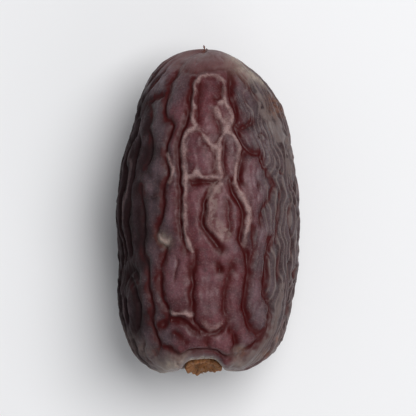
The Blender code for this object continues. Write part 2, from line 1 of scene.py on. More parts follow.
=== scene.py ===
"""The looks of a large soft dried date lying on its side.

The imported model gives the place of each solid. This script puts a finer skin over the fruit, a torn woody
calyx with its broken threads in the stem end, and the dried style on the tip. Sizes and places are in
millimetres, in the fruit's own frame: Y along the fruit to its tip, Z up, z = 0 at the surface it lies on.
"""

import functools

import bmesh
import bpy
import numpy as np
from bpy.props import FloatProperty, FloatVectorProperty, IntProperty, PointerProperty
from bpy.types import Operator, Panel, PropertyGroup
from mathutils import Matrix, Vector


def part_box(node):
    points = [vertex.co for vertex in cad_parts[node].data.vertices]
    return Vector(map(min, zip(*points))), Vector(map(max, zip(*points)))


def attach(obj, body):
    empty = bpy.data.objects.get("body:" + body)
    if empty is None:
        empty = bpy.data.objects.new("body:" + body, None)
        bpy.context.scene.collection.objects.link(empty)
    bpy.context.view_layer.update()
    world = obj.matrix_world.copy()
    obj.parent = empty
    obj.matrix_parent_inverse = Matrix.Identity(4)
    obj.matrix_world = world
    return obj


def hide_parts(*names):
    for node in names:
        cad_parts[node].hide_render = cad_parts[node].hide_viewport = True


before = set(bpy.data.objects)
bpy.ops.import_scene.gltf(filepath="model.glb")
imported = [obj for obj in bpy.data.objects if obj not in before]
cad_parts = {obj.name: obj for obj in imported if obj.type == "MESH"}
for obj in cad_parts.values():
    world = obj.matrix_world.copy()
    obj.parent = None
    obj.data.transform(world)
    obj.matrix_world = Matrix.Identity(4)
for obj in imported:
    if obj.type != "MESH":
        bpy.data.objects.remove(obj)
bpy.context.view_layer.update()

bl_info = {
    "name": "Dried date",
    "version": (1, 0, 0),
    "blender": (4, 5, 0),
    "location": "3D View > Sidebar > Date",
    "description": "Makes the wrinkled skin, the calyx and the style of a dried date, and its stage",
    "category": "Object",
}

MM = 0.001

# Driving dimensions of the fruit
WIDTH = 27.3
HEIGHT = 25.6
WIDEST_Y = -2.9
TIP_Y = 24.8
STEM_Y = -24.1
SQUARENESS = 2.12
TIP_POWER, TIP_ROOT = 2.5, 2.15
STEM_POWER, STEM_ROOT = 3.2, 4.8
STEM_RISE = 2.2
BEND = 0.0013
BEND_Y = 8.0
BEND_X = 0.3
SUNK = 1.1

# The skin is worked out on a grid of rows along the fruit and columns round it
COLUMNS = 480
ROWS = 206
MERIDIAN_SAMPLES = 4000

# Folds of the skin away from the lines drawn below
FOLD_WIDTH = 2.8
FOLD_LENGTH = 9.0
FOLD_STRAIGHTNESS = 0.35
FOLD_ROWS = 264
FOLD_STEPS = 160
FOLD_SEED = 3
STEER_FOLD, STEER_GROOVE = 0.6, 1.2
WANDER, WANDER_SIZE = 1.1, 9.0
SHAKE, SHAKE_SIZE = 0.35, 3.0
DRIFT = 1.5
GROOVE_DEPTH = 0.52
GROOVE_START, GROOVE_WIDTH, GROOVE_SHAPE = 0.1, 0.7, 1.2
NARROW_START, NARROW_END = 0.15, 0.8
DOME_HEIGHT, DOME_EDGE = 0.14, 1.1
LUMP_HEIGHT, LUMP_SIZE = 0.22, 13.0
CRINKLE, CRINKLE_SIZE = 0.09, 2.6

# Lines drawn on the side that faces up: raised folds and creases, as places seen from above
FOLD_HEIGHT, FOLD_HALF_WIDTH = 0.32, 0.36
BROAD_HEIGHT, BROAD_HALF_WIDTH = 0.4, 0.75
CREASE_DEPTH, CREASE_HALF_WIDTH = 0.52, 0.5
SHALLOW_DEPTH, SHALLOW_HALF_WIDTH = 0.26, 0.42
DRAWN_REACH, DRAWN_FADE = 1.5, 1.6
LINE_STEPS = 4
LINE_REACH = 3.5
LINE_ROUNDNESS = 1.6
LINE_END, LINE_END_SHARE = 0.08, 0.35

RAISED_FOLDS = {
    "arch": [
        (-1.8, 12.9), (-2.1, 14.2), (-2, 16), (-1.8, 18), (-1.6, 19.8), (-1, 20.7), (0.3, 20.9),
        (1.6, 20.6), (2.4, 19.9), (2.7, 18.6), (2.7, 17.4), (2.9, 16.4), (3.7, 15.3), (4.1, 14.6),
        (3.8, 13.8), (3.2, 13), (2.7, 12.1)],
    "loop_in_arch": [(2.8, 16.7), (2, 16.6), (1.5, 16), (1.6, 15), (1.9, 14), (2.2, 13), (2.6, 12.2)],
    "left_rail": [
        (-1.8, 12.9), (-2.6, 12.1), (-3.3, 11.2), (-3.6, 10), (-3.5, 8.6), (-3.3, 7), (-3.2, 5.2),
        (-3.3, 3), (-3.3, 1), (-3.3, -1.4), (-3, -3.2), (-2.6, -4.8), (-2.2, -6)],
    "slant_rung": [(-1.8, 12.7), (-1, 12), (-0.2, 10.9), (0.4, 10.3), (1.2, 10), (1.9, 10.2)],
    "middle_rail": [(2.6, 12.1), (2.3, 11.2), (2, 10), (1.8, 9), (1.7, 7.6), (1.7, 6.2), (1.9, 5.1)],
    "right_rail": [
        (2.7, 12.1), (3.7, 11.8), (4.6, 10.8), (5.1, 9.4), (4.8, 8), (4.4, 6.6), (4.2, 5), (4.4, 3.8),
        (5, 2.7), (5.7, 1.5), (6.1, 0.3), (6.2, -1), (6, -2.4), (5.8, -3.8), (5.8, -5.4)],
    "level_rung": [(-3.2, 5.1), (-2.4, 5.3), (-1.6, 5.9), (-0.9, 5.3), (0.2, 5.2), (1.8, 5.1)],
    "left_flash": [(-6.2, 8.8), (-5.8, 7.7), (-5.3, 6.9), (-5.3, 6), (-5.6, 4.5)],
    "left_knee": [(-7.3, -3.6), (-6.6, -4.2), (-5.9, -4.7)],
    "left_shelf": [(-5.4, -15.2), (-4.2, -15.5), (-2.5, -15.4)],
    "patch_edge": [
        (2.3, 4.2), (1.2, 3.6), (0.5, 2.4), (0.3, 0.8), (0.1, -0.8), (0.3, -2.2), (1, -3.2), (2.2, -3.9)],
    "finger_end": [(-0.6, -16.8), (0.3, -17.5), (1.4, -17.6), (2.2, -17)],
}

BROAD_FOLDS = {
    "tip_shoulder": [(3.8, 23.6), (4.7, 22.5), (6, 21.4), (7.4, 20.4), (8.7, 19.3)],
    "right_flank_inner": [(8.2, 17.6), (8.8, 15.6), (9.8, 13.2), (11, 10.8), (12.1, 8.4), (13, 6)],
    "right_flank_outer": [(10.6, 14.4), (11.9, 11.8), (12.9, 9)],
    "arch_stalk": [(3, 14), (2.9, 13.2), (2.7, 12.4)],
    "stem_lip_right": [
        (4, -23.5), (5.6, -22.9), (7, -21.4), (8.2, -19.8), (9.6, -17.8), (10.6, -15.6), (11.3, -13.2),
        (11.7, -11.6)],
    "stem_lip_left": [(-9.4, -23.6), (-7.6, -24), (-5.8, -23.5), (-4.2, -23)],
}

CREASES = {
    "outside_left_rail": [
        (-2.2, 20.4), (-2.4, 18.6), (-2.6, 16.4), (-2.8, 14.8), (-3.3, 13.2), (-3.9, 11.9), (-4.3, 10.2),
        (-4.3, 8.2), (-4.2, 6.2), (-4.1, 4), (-4.1, 2), (-4, 0.4), (-4, -1), (-3.8, -2.6), (-3.5, -4.2),
        (-3, -5.6)],
    "left_column_top": [
        (-4.2, 22.9), (-4.8, 21.4), (-5.7, 20.2), (-6.1, 18.6), (-6.3, 17), (-6.5, 15.4), (-6.3, 14.3),
        (-5.6, 13.8), (-5.2, 13), (-5.6, 12), (-6.1, 10.8), (-6.4, 9.4), (-6.3, 8.2), (-6, 7), (-6, 5.6),
        (-6.5, 4), (-6.8, 2.2), (-6.8, 0.4), (-7.2, -1.2), (-7.7, -2.4), (-7.9, -3.6), (-7.3, -4.6)],
    "left_column_low": [
        (-7.3, -4.6), (-6.4, -5.4), (-6.5, -6.8), (-6.9, -8.4), (-7.1, -10), (-6.8, -12), (-6.4, -13.8),
        (-5.9, -15.4), (-6.3, -16.8), (-7.5, -17.4)],
    "outside_right_rail": [
        (3.6, 21.2), (3.7, 19.6), (3.8, 18), (4.2, 16.4), (4.8, 15), (4.5, 13.9), (4.2, 13), (4.8, 11.7),
        (5.5, 10.4), (6.4, 9.4), (7.3, 9.1), (8.1, 8.5), (8.5, 7), (9.2, 5.4), (10.1, 4.3)],
    "right_spur": [(4.5, 13.2), (5.5, 12.9), (6.4, 13.3), (7, 14)],
    "right_plate_left": [(5.7, 9.4), (5.4, 8.2), (5, 6.8), (4.8, 5.4), (5, 4.2)],
    "right_column": [
        (3.5, 5), (3.6, 3.8), (4.1, 2.6), (4.8, 1.4), (5.3, 0.2), (5.4, -1.4), (5.1, -3), (5.2, -4.6),
        (5.8, -6.2), (6.2, -7.8), (6.3, -9.2), (6, -10.8), (5.8, -12.6), (5.7, -14.2), (5.9, -15.8),
        (6.5, -17.4), (7.5, -18.5), (8.3, -18.3)],
    "under_level_rung": [(-2.7, 4.4), (-1, 4.5), (0.4, 4.4), (1.7, 4.2)],
    "patch_left": [
        (0.9, 3.6), (0, 2.4), (-0.4, 0.8), (-0.6, -1), (-0.3, -2.6), (0.6, -3.9), (1.5, -4.8), (2.2, -5.8)],
    "pinch": [(1.8, -8.4), (2.3, -8.8)],
    "middle_finger": [
        (-2.2, -8.4), (-2.3, -9.6), (-2.3, -11.2), (-2.3, -13), (-2.2, -15), (-1.9, -16.6), (-0.9, -17.9),
        (0.4, -18.3), (1.6, -18.2), (2.6, -17.6), (3, -16.2)],
    "right_flank": [
        (9.6, -4), (9.1, -6.4), (8.9, -8.4), (8.8, -10.6), (8.8, -12.4), (9.4, -14.2), (9.5, -16),
        (8.9, -17.8)],
    "left_flank": [
        (-9.8, 4), (-9.8, 1), (-9.7, -2), (-9.9, -4.6), (-9.8, -6.4), (-9.1, -7.8), (-8.8, -9.6),
        (-8.6, -11.6), (-8.2, -13.4), (-8.4, -15.2), (-8.4, -17), (-8.1, -18.6), (-7.4, -20.4), (-8, -21.6)],
    "left_edge": [(-12.5, -10.8), (-12.2, -9.6), (-11.6, -9), (-10.8, -9.3), (-10.3, -10.4)],
    "left_edge_low": [
        (-11.9, -9.8), (-11.1, -11.2), (-10.4, -13), (-10, -14.8), (-10.3, -16.6), (-10.9, -18.2)],
    "left_shoulder": [(-9.2, 12.8), (-8.6, 10.6), (-8.8, 8.6), (-9.4, 6.8)],
    "left_shoulder_bar": [(-8.8, 16.8), (-8.1, 17.3), (-7.4, 17.7), (-6.4, 18.1)],
    "stem_arc": [
        (-7.4, -20.4), (-5.8, -20.9), (-4.6, -21.7), (-3.2, -22.2), (-1.4, -22.3), (0.6, -22.3),
        (2.6, -22.2), (4.4, -22), (6, -21), (7.4, -20), (8.4, -18.8)],
    "under_left_shelf": [(-5.9, -16.2), (-4.2, -16.2), (-3, -16.8), (-2, -17.9), (-1, -18.4)],
    "stem_right": [(3.5, -17.4), (4.1, -18.8), (4.3, -20.2), (4.3, -21.8)],
}

SHALLOW_CREASES = {
    "middle_finger_right": [(3, -16.2), (2.6, -14.6), (2.6, -13), (2.9, -11.2), (3.5, -9.4), (4, -7.8)],
    "right_seam": [(6.8, -2.2), (7, -5), (6.7, -8), (6.3, -9.6)],
    "tip_cap_edge": [
        (-4, 22.4), (-3.2, 21.6), (-2, 21.4), (-0.4, 21.8), (1.2, 21.8), (2.8, 21.8), (4.2, 21.8),
        (5.2, 20.8), (6.2, 19.7), (7.2, 18.6), (7.8, 17.5)],
    "left_cell": [(-0.2, 10.1), (0.9, 9.5), (1.2, 8.4), (1.2, 7), (1.1, 5.9)],
    "right_cell": [(2.7, 10.4), (2.5, 8.8), (2.4, 7), (2.5, 5.2)],
    "arch_left": [(-1.1, 19.6), (-1.2, 17.6), (-1.4, 15.6), (-1.4, 13.6)],
    "arch_right": [(1.1, 15.2), (1.4, 13.8), (1.8, 12.4), (1.9, 11.2), (1.5, 10.6)],
    "arch_squiggle": [(2, 19.2), (2.2, 18.2), (2, 17.4), (1.2, 17)],
    "right_plate_right": [(10.1, 4.3), (9.7, 2.6), (8.9, 1.2), (8.2, 0), (8.1, -1.6)],
    "patch_right": [(3, 1.6), (3.1, -0.6), (3.3, -2.2), (3.2, -3.4)],
    "middle_finger_top": [(-1.8, -5.8), (-1.7, -7), (-2.1, -8.2)],
    "stem_middle": [(0.2, -18.6), (-0.1, -20), (0.2, -21.2), (0, -22.2)],
    "stem_left": [(-5, -18.6), (-3.9, -19), (-3.3, -19.8)],
    "left_shoulder_fork": [(-8.9, 16.6), (-8.4, 15.4), (-8.6, 14.2), (-9.2, 12.8)],
    "right_flank_top": [(11.4, 3.4), (11, 0.6), (10.8, -2.2), (10.6, -4.6)],
    "right_flank_low": [(11.2, -5.6), (10.9, -8), (11, -10.4)],
}

# The hollow of the stem end, which faces a little upwards and is open at its top
MOUTH = np.array([-0.7, -23.5, 15.0])
HOLLOW_TILT = np.radians(22.0)
SIDEWAYS = np.array([1.0, 0.0, 0.0])
UPWARDS = np.array([0.0, np.sin(HOLLOW_TILT), np.cos(HOLLOW_TILT)])
OUTWARDS = np.cross(SIDEWAYS, UPWARDS)
HOLLOW_FLOOR = -1.15
HOLLOW_START, HOLLOW_END = 2.85, 3.6
NOTCH_DEPTH, NOTCH_HALF_WIDTH = 1.6, 3.0
NOTCH_LOW, NOTCH_HIGH = 12.5, 18.0
NOTCH_START, NOTCH_FULL = 19.5, 23.2
STEM_START, STEM_FULL = 14.0, 21.0
LOBE_HEIGHT, LOBE_RADIUS, LOBE_WIDTH = 0.3, 6.4, 2.0

# The smooth cap round the blossom end
CAP_RADIUS = 6.2
CAP_EDGE = 2.4

# The flat spot that the fruit rests on, and how gently the skin leaves the floor round it
RESTING_SPOT = [(4.4, -8.6), (4.4, -1.6), (0.2, 4.6), (-4.4, -1.6), (-4.4, -8.6), (0.0, -13.8)]
LEAVING_SLOPE = 0.07

# Places of colours on the side that faces up, as seen from above: x, y and how far they reach
AMBER_SPOTS = [(10.6, 15.6, 1.2), (10.0, 17.3, 0.8), (5.2, -21.2, 0.8), (8.9, -21.6, 0.7),
               (10.5, -19.4, 0.5)]
# Painted highlights: along the tip's shoulder and beside the calyx
HIGHLIGHT_SPOTS = [(3.7, 23.1, 1.2), (5.1, 21.8, 1.2), (6.5, 20.4, 1.0), (-5.6, -22.8, 0.9), (-3.9, -22.9, 0.8),
              (4.8, -22.8, 0.8)]
ARCH_STALK = 2.9, 13.2, 1.8
SCUFF_LINE = [(1.5, 4.2), (1.3, 2.6), (1.5, 0.8), (1.7, -0.8), (2.1, -2.2), (2.6, -3.6)]
SCUFF_HALF_WIDTH = 1.15
RED_CENTRE_X, RED_HALF_WIDTH = 0.4, 7.0
TIPWARDS = 4.0, 20.0
GREY_START_X, GREY_FULL_X = 6.5, 11.0
# The stem's lip, round whose top a highlight is painted
LIP_RADIUS, LIP_HALF_WIDTH = 4.2, 1.1
CAP_PALE = 5.5, 9.0
# Painted shade over the left side: it starts this far left of the middle line and is full at the second
# distance
PAINTED_SHADE_SIDE = 6.0, 12.0
STEM_GREY = 21.6, 24.4

# Folds and pits too fine for the part's own solids
FINE_WIDTH, FINE_LENGTH, FINE_SEED = 1.15, 9.0, 8
FINE_HEIGHT, FINE_FLANK_HEIGHT = 0.02, 0.15
PEBBLE_SIZE, PEBBLE_HEIGHT = 1.5, 0.035
CREASE_STAIN, SHALLOW_STAIN = 0.62, 0.42
FOLD_STAIN, FOLD_UNEVEN = 1.05, 0.3
FAINT_FOLDS = ("finger_end", "patch_edge")
# Folds that take a painted highlight in the lip's cream colour
HIGHLIGHT_FOLDS = ("tip_shoulder", "stem_lip_left", "left_knee")
FINE_WANDER, FINE_DRIFT = (0.6, 5.0), (1.2, 6.0)
RIGHT_FLANK, LEFT_FLANK, UNDERSIDE = (6.0, 10.5), (8.0, 11.0), (-12.0, -6.0)
FLANK_LEAN, LEFT_FINE, UNDER_FINE = 3.2, 0.15, 0.6
PLATE_EDGE = 1.15

# The calyx's remains, finer than in the part: (radius, height out of the mouth) along its profile
CALYX_COLUMNS, CALYX_STEPS = 144, 7
CALYX_PROFILE = [(0.0, -0.75), (1.3, -0.75), (2.3, -0.65), (2.8, -0.2), (2.7, 0.4), (2.2, 0.45), (1.5, 0.0),
                 (0.9, 0.15), (0.6, 0.7), (0.0, 0.8)]
CALYX_LOBES = 0.09
CALYX_TEETH = 0.22
THREAD_SEED = 17

# Where the threads start from the axis, how long they are, and the height they start at
STUB_THREADS = (0.15, 0.65), (0.5, 1.2), 0.3
RIM_THREADS = (1.7, 2.5), (0.4, 0.9), 0.05

# The stage, in metres
FLOOR_SIDE = 3.0
MAIN_LIGHT_PLACE, MAIN_LIGHT_SIDE = (0.24, 0.18, 0.62), 0.50
SECOND_LIGHT_PLACE, SECOND_LIGHT_SIDE = (0.25, -0.45, 0.30), 0.3
SURROUND_COLOUR, FLOOR_COLOUR = (0.95, 0.97, 1.0, 1), (0.86, 0.86, 0.87, 1)


def bell(far, reach):
    """A bell curve: 1 where far is 0, and 0.37 at the reach."""
    return np.exp(-((far / reach) ** 2))


def grid_steps():
    """How far apart the grid's columns and rows are at the fruit's middle."""
    return np.pi * (WIDTH + HEIGHT) / 2 / COLUMNS, meridian()[2] / (ROWS - 1)


def to_stem(y):
    """How far y is from the widest place to the stem end, 0 to 1."""
    return np.clip((WIDEST_Y - y) / (WIDEST_Y - STEM_Y), 0, 1)


def half_width_share(y):
    """The fruit's half-width at y as a share of its widest, from a power curve for each end."""
    to_tip = np.clip((y - WIDEST_Y) / (TIP_Y - WIDEST_Y), 0, 1)
    tip = (1 - to_tip**TIP_POWER) ** (1 / TIP_ROOT)
    stem = (1 - to_stem(y) ** STEM_POWER) ** (1 / STEM_ROOT)
    return np.where(y > WIDEST_Y, tip, stem)


def meridian():
    """(y, share of the width, whole length) in even steps along the skin from stem end to tip."""
    angle = np.linspace(0, np.pi, MERIDIAN_SAMPLES)
    middle, reach = (TIP_Y + STEM_Y) / 2, (TIP_Y - STEM_Y) / 2
    y = middle - reach * np.cos(angle)
    share = half_width_share(y)
    radius = share * (WIDTH + HEIGHT) / 4
    run = np.concatenate([[0], np.cumsum(np.hypot(np.diff(y), np.diff(radius)))])
    even = np.linspace(0, run[-1], ROWS)
    return np.interp(even, run, y), np.interp(even, run, share), run[-1]


def bend(y):
    """The middle line's place to the side at y: a shallow parabola."""
    return BEND_X - BEND * (y - BEND_Y) ** 2


def middle_height(y):
    """The middle line's height at y: level, then rising to the stem end."""
    return HEIGHT / 2 - SUNK + STEM_RISE * to_stem(y) ** 5


def smooth_skin():
    """The fruit before it shrank: rows by columns of points, its section a slightly squared oval."""
    y, share, _ = meridian()
    turn = np.linspace(0, 2 * np.pi, COLUMNS, endpoint=False)
    out = (np.abs(np.cos(turn)) ** SQUARENESS + np.abs(np.sin(turn)) ** SQUARENESS) ** (-1 / SQUARENESS)
    x = bend(y)[:, None] + WIDTH / 2 * share[:, None] * out * np.cos(turn)
    z = middle_height(y)[:, None] + HEIGHT / 2 * share[:, None] * out * np.sin(turn)
    return np.stack([x, np.broadcast_to(y[:, None], x.shape), z], axis=-1)


def laid_on_top(places):
    """Places seen from above, put on the upper half of the smooth skin."""
    x, y = np.array(places, float).T
    share = half_width_share(y)
    across = np.clip((x - bend(y)) / (WIDTH / 2 * np.maximum(share, 1e-3)), -0.99, 0.99)
    up = (1 - np.abs(across) ** SQUARENESS) ** (1 / SQUARENESS)
    return np.stack([x, y, middle_height(y) + HEIGHT / 2 * share * up], axis=-1)


def smooth_line(points, steps=LINE_STEPS):
    """A Catmull-Rom curve through the points."""
    p = np.concatenate([[2 * points[0] - points[1]], points, [2 * points[-1] - points[-2]]])
    t = (np.arange(steps) / steps)[:, None, None]
    a, b, c, d = p[:-3], p[1:-2], p[2:-1], p[3:]
    runs = 0.5 * (2 * b + (c - a) * t + (2 * a - 5 * b + 4 * c - d) * t**2 + (3 * b - a - 3 * c + d) * t**3)
    return np.concatenate([runs.transpose(1, 0, 2).reshape(-1, points.shape[1]), points[-1:]])


def line_distance(skin, line):
    """Each skin point's distance to a line within reach, and its share of the way along it."""
    near = np.full(skin.shape[:2], LINE_REACH)
    along = np.zeros(skin.shape[:2])
    low, high = line.min(axis=0) - LINE_REACH, line.max(axis=0) + LINE_REACH
    rows, columns = np.nonzero(((skin > low) & (skin < high)).all(axis=-1))
    points = skin[rows, columns]
    best = np.full(len(points), LINE_REACH)
    share = np.zeros(len(points))
    for i, (start, end) in enumerate(zip(line[:-1], line[1:])):
        run = end - start
        t = np.clip((points - start) @ run / (run @ run), 0, 1)
        far = np.linalg.norm(points - start - t[:, None] * run, axis=1)
        closer = far < best
        best[closer] = far[closer]
        share[closer] = (i + t[closer]) / (len(line) - 1)
    near[rows, columns], along[rows, columns] = best, share
    return near, along


def drawn(skin, lines, half_width):
    """How strongly the lines mark each skin point, 0 to 1, and how far the nearest one is."""
    mark = np.zeros(skin.shape[:2])
    nearest = np.full(skin.shape[:2], LINE_REACH)
    for places in lines.values():
        line = smooth_line(laid_on_top(places))
        far, along = line_distance(skin, line)
        ends = np.clip(np.minimum(along, 1 - along) / LINE_END, LINE_END_SHARE, 1)
        mark = np.maximum(mark, ends * np.exp(-((far / half_width) ** LINE_ROUNDNESS)))
        nearest = np.minimum(nearest, far)
    return mark, nearest


def marked(skin, names, half_width):
    """How strongly the named folds mark each skin point."""
    folds = {**RAISED_FOLDS, **BROAD_FOLDS}
    return drawn(skin, {name: folds[name] for name in names}, half_width)[0]


def waves(shape):
    """Wave numbers round and along the grid, in radians per millimetre."""
    across, length = grid_steps()
    round_it = 2 * np.pi * np.fft.fftfreq(shape[1], across)
    along_it = 2 * np.pi * np.fft.fftfreq(shape[0], length)
    return round_it[None, :], along_it[:, None]


def blurred_noise(seed, size):
    """Seeded noise over the grid, blurred to lumps of that size, with a spread of 1."""
    shape = (FOLD_ROWS, COLUMNS)
    round_it, along_it = waves(shape)
    keep = np.exp(-(round_it**2 + along_it**2) * (size / (2 * np.pi)) ** 2)
    noise = np.random.default_rng(seed).standard_normal(shape)
    blurred = np.fft.ifft2(np.fft.fft2(noise) * keep).real
    return blurred / blurred.std()


def skin_noise(seed, size):
    """The part of the blurred noise that lies on the skin."""
    return blurred_noise(seed, size)[:ROWS]


def buckled(width, length, seed, push):
    """The pattern that a skin buckles into as it shrinks, from the Swift-Hohenberg equation: ridges `width`
    apart that run along the fruit for about `length`. push makes ridges (+) or grooves (-).
    """
    shape = (FOLD_ROWS, COLUMNS)
    round_it, along_it = waves(shape)
    u = round_it * width / (2 * np.pi)
    v = along_it * length / (2 * np.pi)
    grow = 0.7 - (1 - u**2 - v**2) ** 2 - FOLD_STRAIGHTNESS * v**2
    pushed = np.zeros(shape)
    pushed[:ROWS] = push
    height = 0.3 * np.random.default_rng(seed).standard_normal(shape)
    for _ in range(FOLD_STEPS):
        curbed = np.fft.fft2(pushed - height**3)
        height = np.fft.ifft2((np.fft.fft2(height) + 0.5 * curbed) / (1 - 0.5 * grow)).real
    return height


def moved(field, sideways, lengthways):
    """The field read at places moved by so many millimetres, blended between grid points."""
    across, length = grid_steps()
    rows, columns = field.shape
    row, column = np.mgrid[0:rows, 0:columns]
    x = (column + sideways / across) % columns
    y = (row + lengthways / length) % rows
    x0, y0 = np.floor(x).astype(int), np.floor(y).astype(int)
    fx, fy = x - x0, y - y0
    x0, y0 = x0 % columns, y0 % rows
    x1, y1 = (x0 + 1) % columns, (y0 + 1) % rows
    low = field[y0, x0] * (1 - fx) + field[y0, x1] * fx
    high = field[y1, x0] * (1 - fx) + field[y1, x1] * fx
    return low * (1 - fy) + high * fy


def fade(value, start, end):
    """0 before start, 1 after end, smooth between."""
    t = np.clip((value - start) / (end - start), 0, 1)
    return t * t * (3 - 2 * t)


def normals(points):
    """Outward unit normals of a grid of points that closes round."""
    round_it = np.roll(points, -1, axis=1) - np.roll(points, 1, axis=1)
    along_it = np.gradient(points, axis=0)
    normal = np.cross(round_it, along_it)
    normal /= np.maximum(np.linalg.norm(normal, axis=-1, keepdims=True), 1e-12)
    centre = points.mean(axis=(0, 1))
    return normal * np.sign(((points - centre) * normal).sum(axis=-1).mean())


def in_hollow(points):
    """(how far out of the mouth, how far from its axis, the angle round it) of each point."""
    across, rise = (points - MOUTH) @ SIDEWAYS, (points - MOUTH) @ UPWARDS
    return (points - MOUTH) @ OUTWARDS, np.hypot(across, rise), np.arctan2(rise, across)


def stem_end(points):
    """The points with the stem end notched at its top, lobed at both sides and hollowed between them."""
    x, y, z = np.moveaxis(points, -1, 0)
    end = fade(-y, STEM_START, STEM_FULL)
    notch = NOTCH_DEPTH * fade(z, NOTCH_LOW, NOTCH_HIGH) * fade(-y, NOTCH_START, NOTCH_FULL)
    notch *= np.exp(-(((x - MOUTH[0]) / NOTCH_HALF_WIDTH) ** 6))
    _, aside, turn = in_hollow(points)
    lobes = 0.5 + 0.35 * np.cos(2 * turn) + 0.15 * np.cos(5 * turn + 1.0)
    lobes = LOBE_HEIGHT * lobes * bell(aside - LOBE_RADIUS, LOBE_WIDTH)
    points = points + (notch - lobes * end)[..., None] * [0, 1, 0]
    along, aside, _ = in_hollow(points)
    sunk = (HOLLOW_FLOOR - along) * (1 - fade(aside, HOLLOW_START, HOLLOW_END)) * end
    return points + sunk[..., None] * OUTWARDS


def closed_grid(points):
    """(points, faces) of a grid closed round, its first and last row drawn to a point."""
    rows, columns = points.shape[:2]
    poles = points[[0, -1]].mean(axis=1)
    inner = points[1:-1].reshape(-1, 3)
    here = np.arange(len(inner)).reshape(rows - 2, columns)
    beside = np.roll(here, -1, axis=1)
    quads = np.stack([here[:-1], here[1:], beside[1:], beside[:-1]], axis=-1).reshape(-1, 4)
    pole = np.full(columns, len(inner))
    low = np.stack([pole, here[0], beside[0]], axis=-1)
    high = np.stack([pole + 1, beside[-1], here[-1]], axis=-1)
    return np.concatenate([inner, poles]), [*quads.tolist(), *low.tolist(), *high.tolist()]


def seen_from_above(skin, x, y, reach):
    """A soft round spot of that reach on the upper side, 1 in its middle."""
    return bell(np.hypot(skin[..., 0] - x, skin[..., 1] - y), reach) * fade(skin[..., 2], 8, 13)


def spotted(skin, spots):
    """All of the soft spots together, 0 to 1."""
    return np.clip(sum(seen_from_above(skin, *spot) for spot in spots), 0, 1)


def from_tip(skin):
    """Each point's distance to the tip."""
    return np.linalg.norm(skin - [bend(TIP_Y), TIP_Y, middle_height(TIP_Y)], axis=-1)


def roughness_left(skin):
    """The relief's share that is left: little on the tip's cap, in the hollow and underneath."""
    tip_part = 0.1 + 0.9 * fade(from_tip(skin), CAP_RADIUS - CAP_EDGE, CAP_RADIUS)
    under = np.hypot(skin[..., 0] / 7.0, (skin[..., 1] - WIDEST_Y) / 12.0)
    under_part = np.where(skin[..., 2] < HEIGHT / 2, 0.1 + 0.9 * fade(under, 0.6, 1.15), 1)
    _, aside, _ = in_hollow(skin)
    stem_part = np.where(skin[..., 1] < 0, 0.05 + 0.95 * fade(aside, HOLLOW_START, HOLLOW_END + 1), 1)
    return tip_part, under_part * stem_part


def fine_folds(skin):
    """The pattern of the fine folds, and how much of it each point of the skin has."""
    lean = FLANK_LEAN * fade(skin[..., 1], *TIPWARDS)
    flank = fade(skin[..., 0] + lean, *RIGHT_FLANK) + LEFT_FINE * fade(-skin[..., 0], *LEFT_FLANK)
    flank += UNDER_FINE * fade(-skin[..., 2], *UNDERSIDE)
    (wander, wander_size), (drift, drift_size) = FINE_WANDER, FINE_DRIFT
    sideways, lengthways = wander * blurred_noise(51, wander_size), drift * blurred_noise(52, drift_size)
    return moved(buckled(FINE_WIDTH, FINE_LENGTH, FINE_SEED, 0), sideways, lengthways)[:ROWS], flank


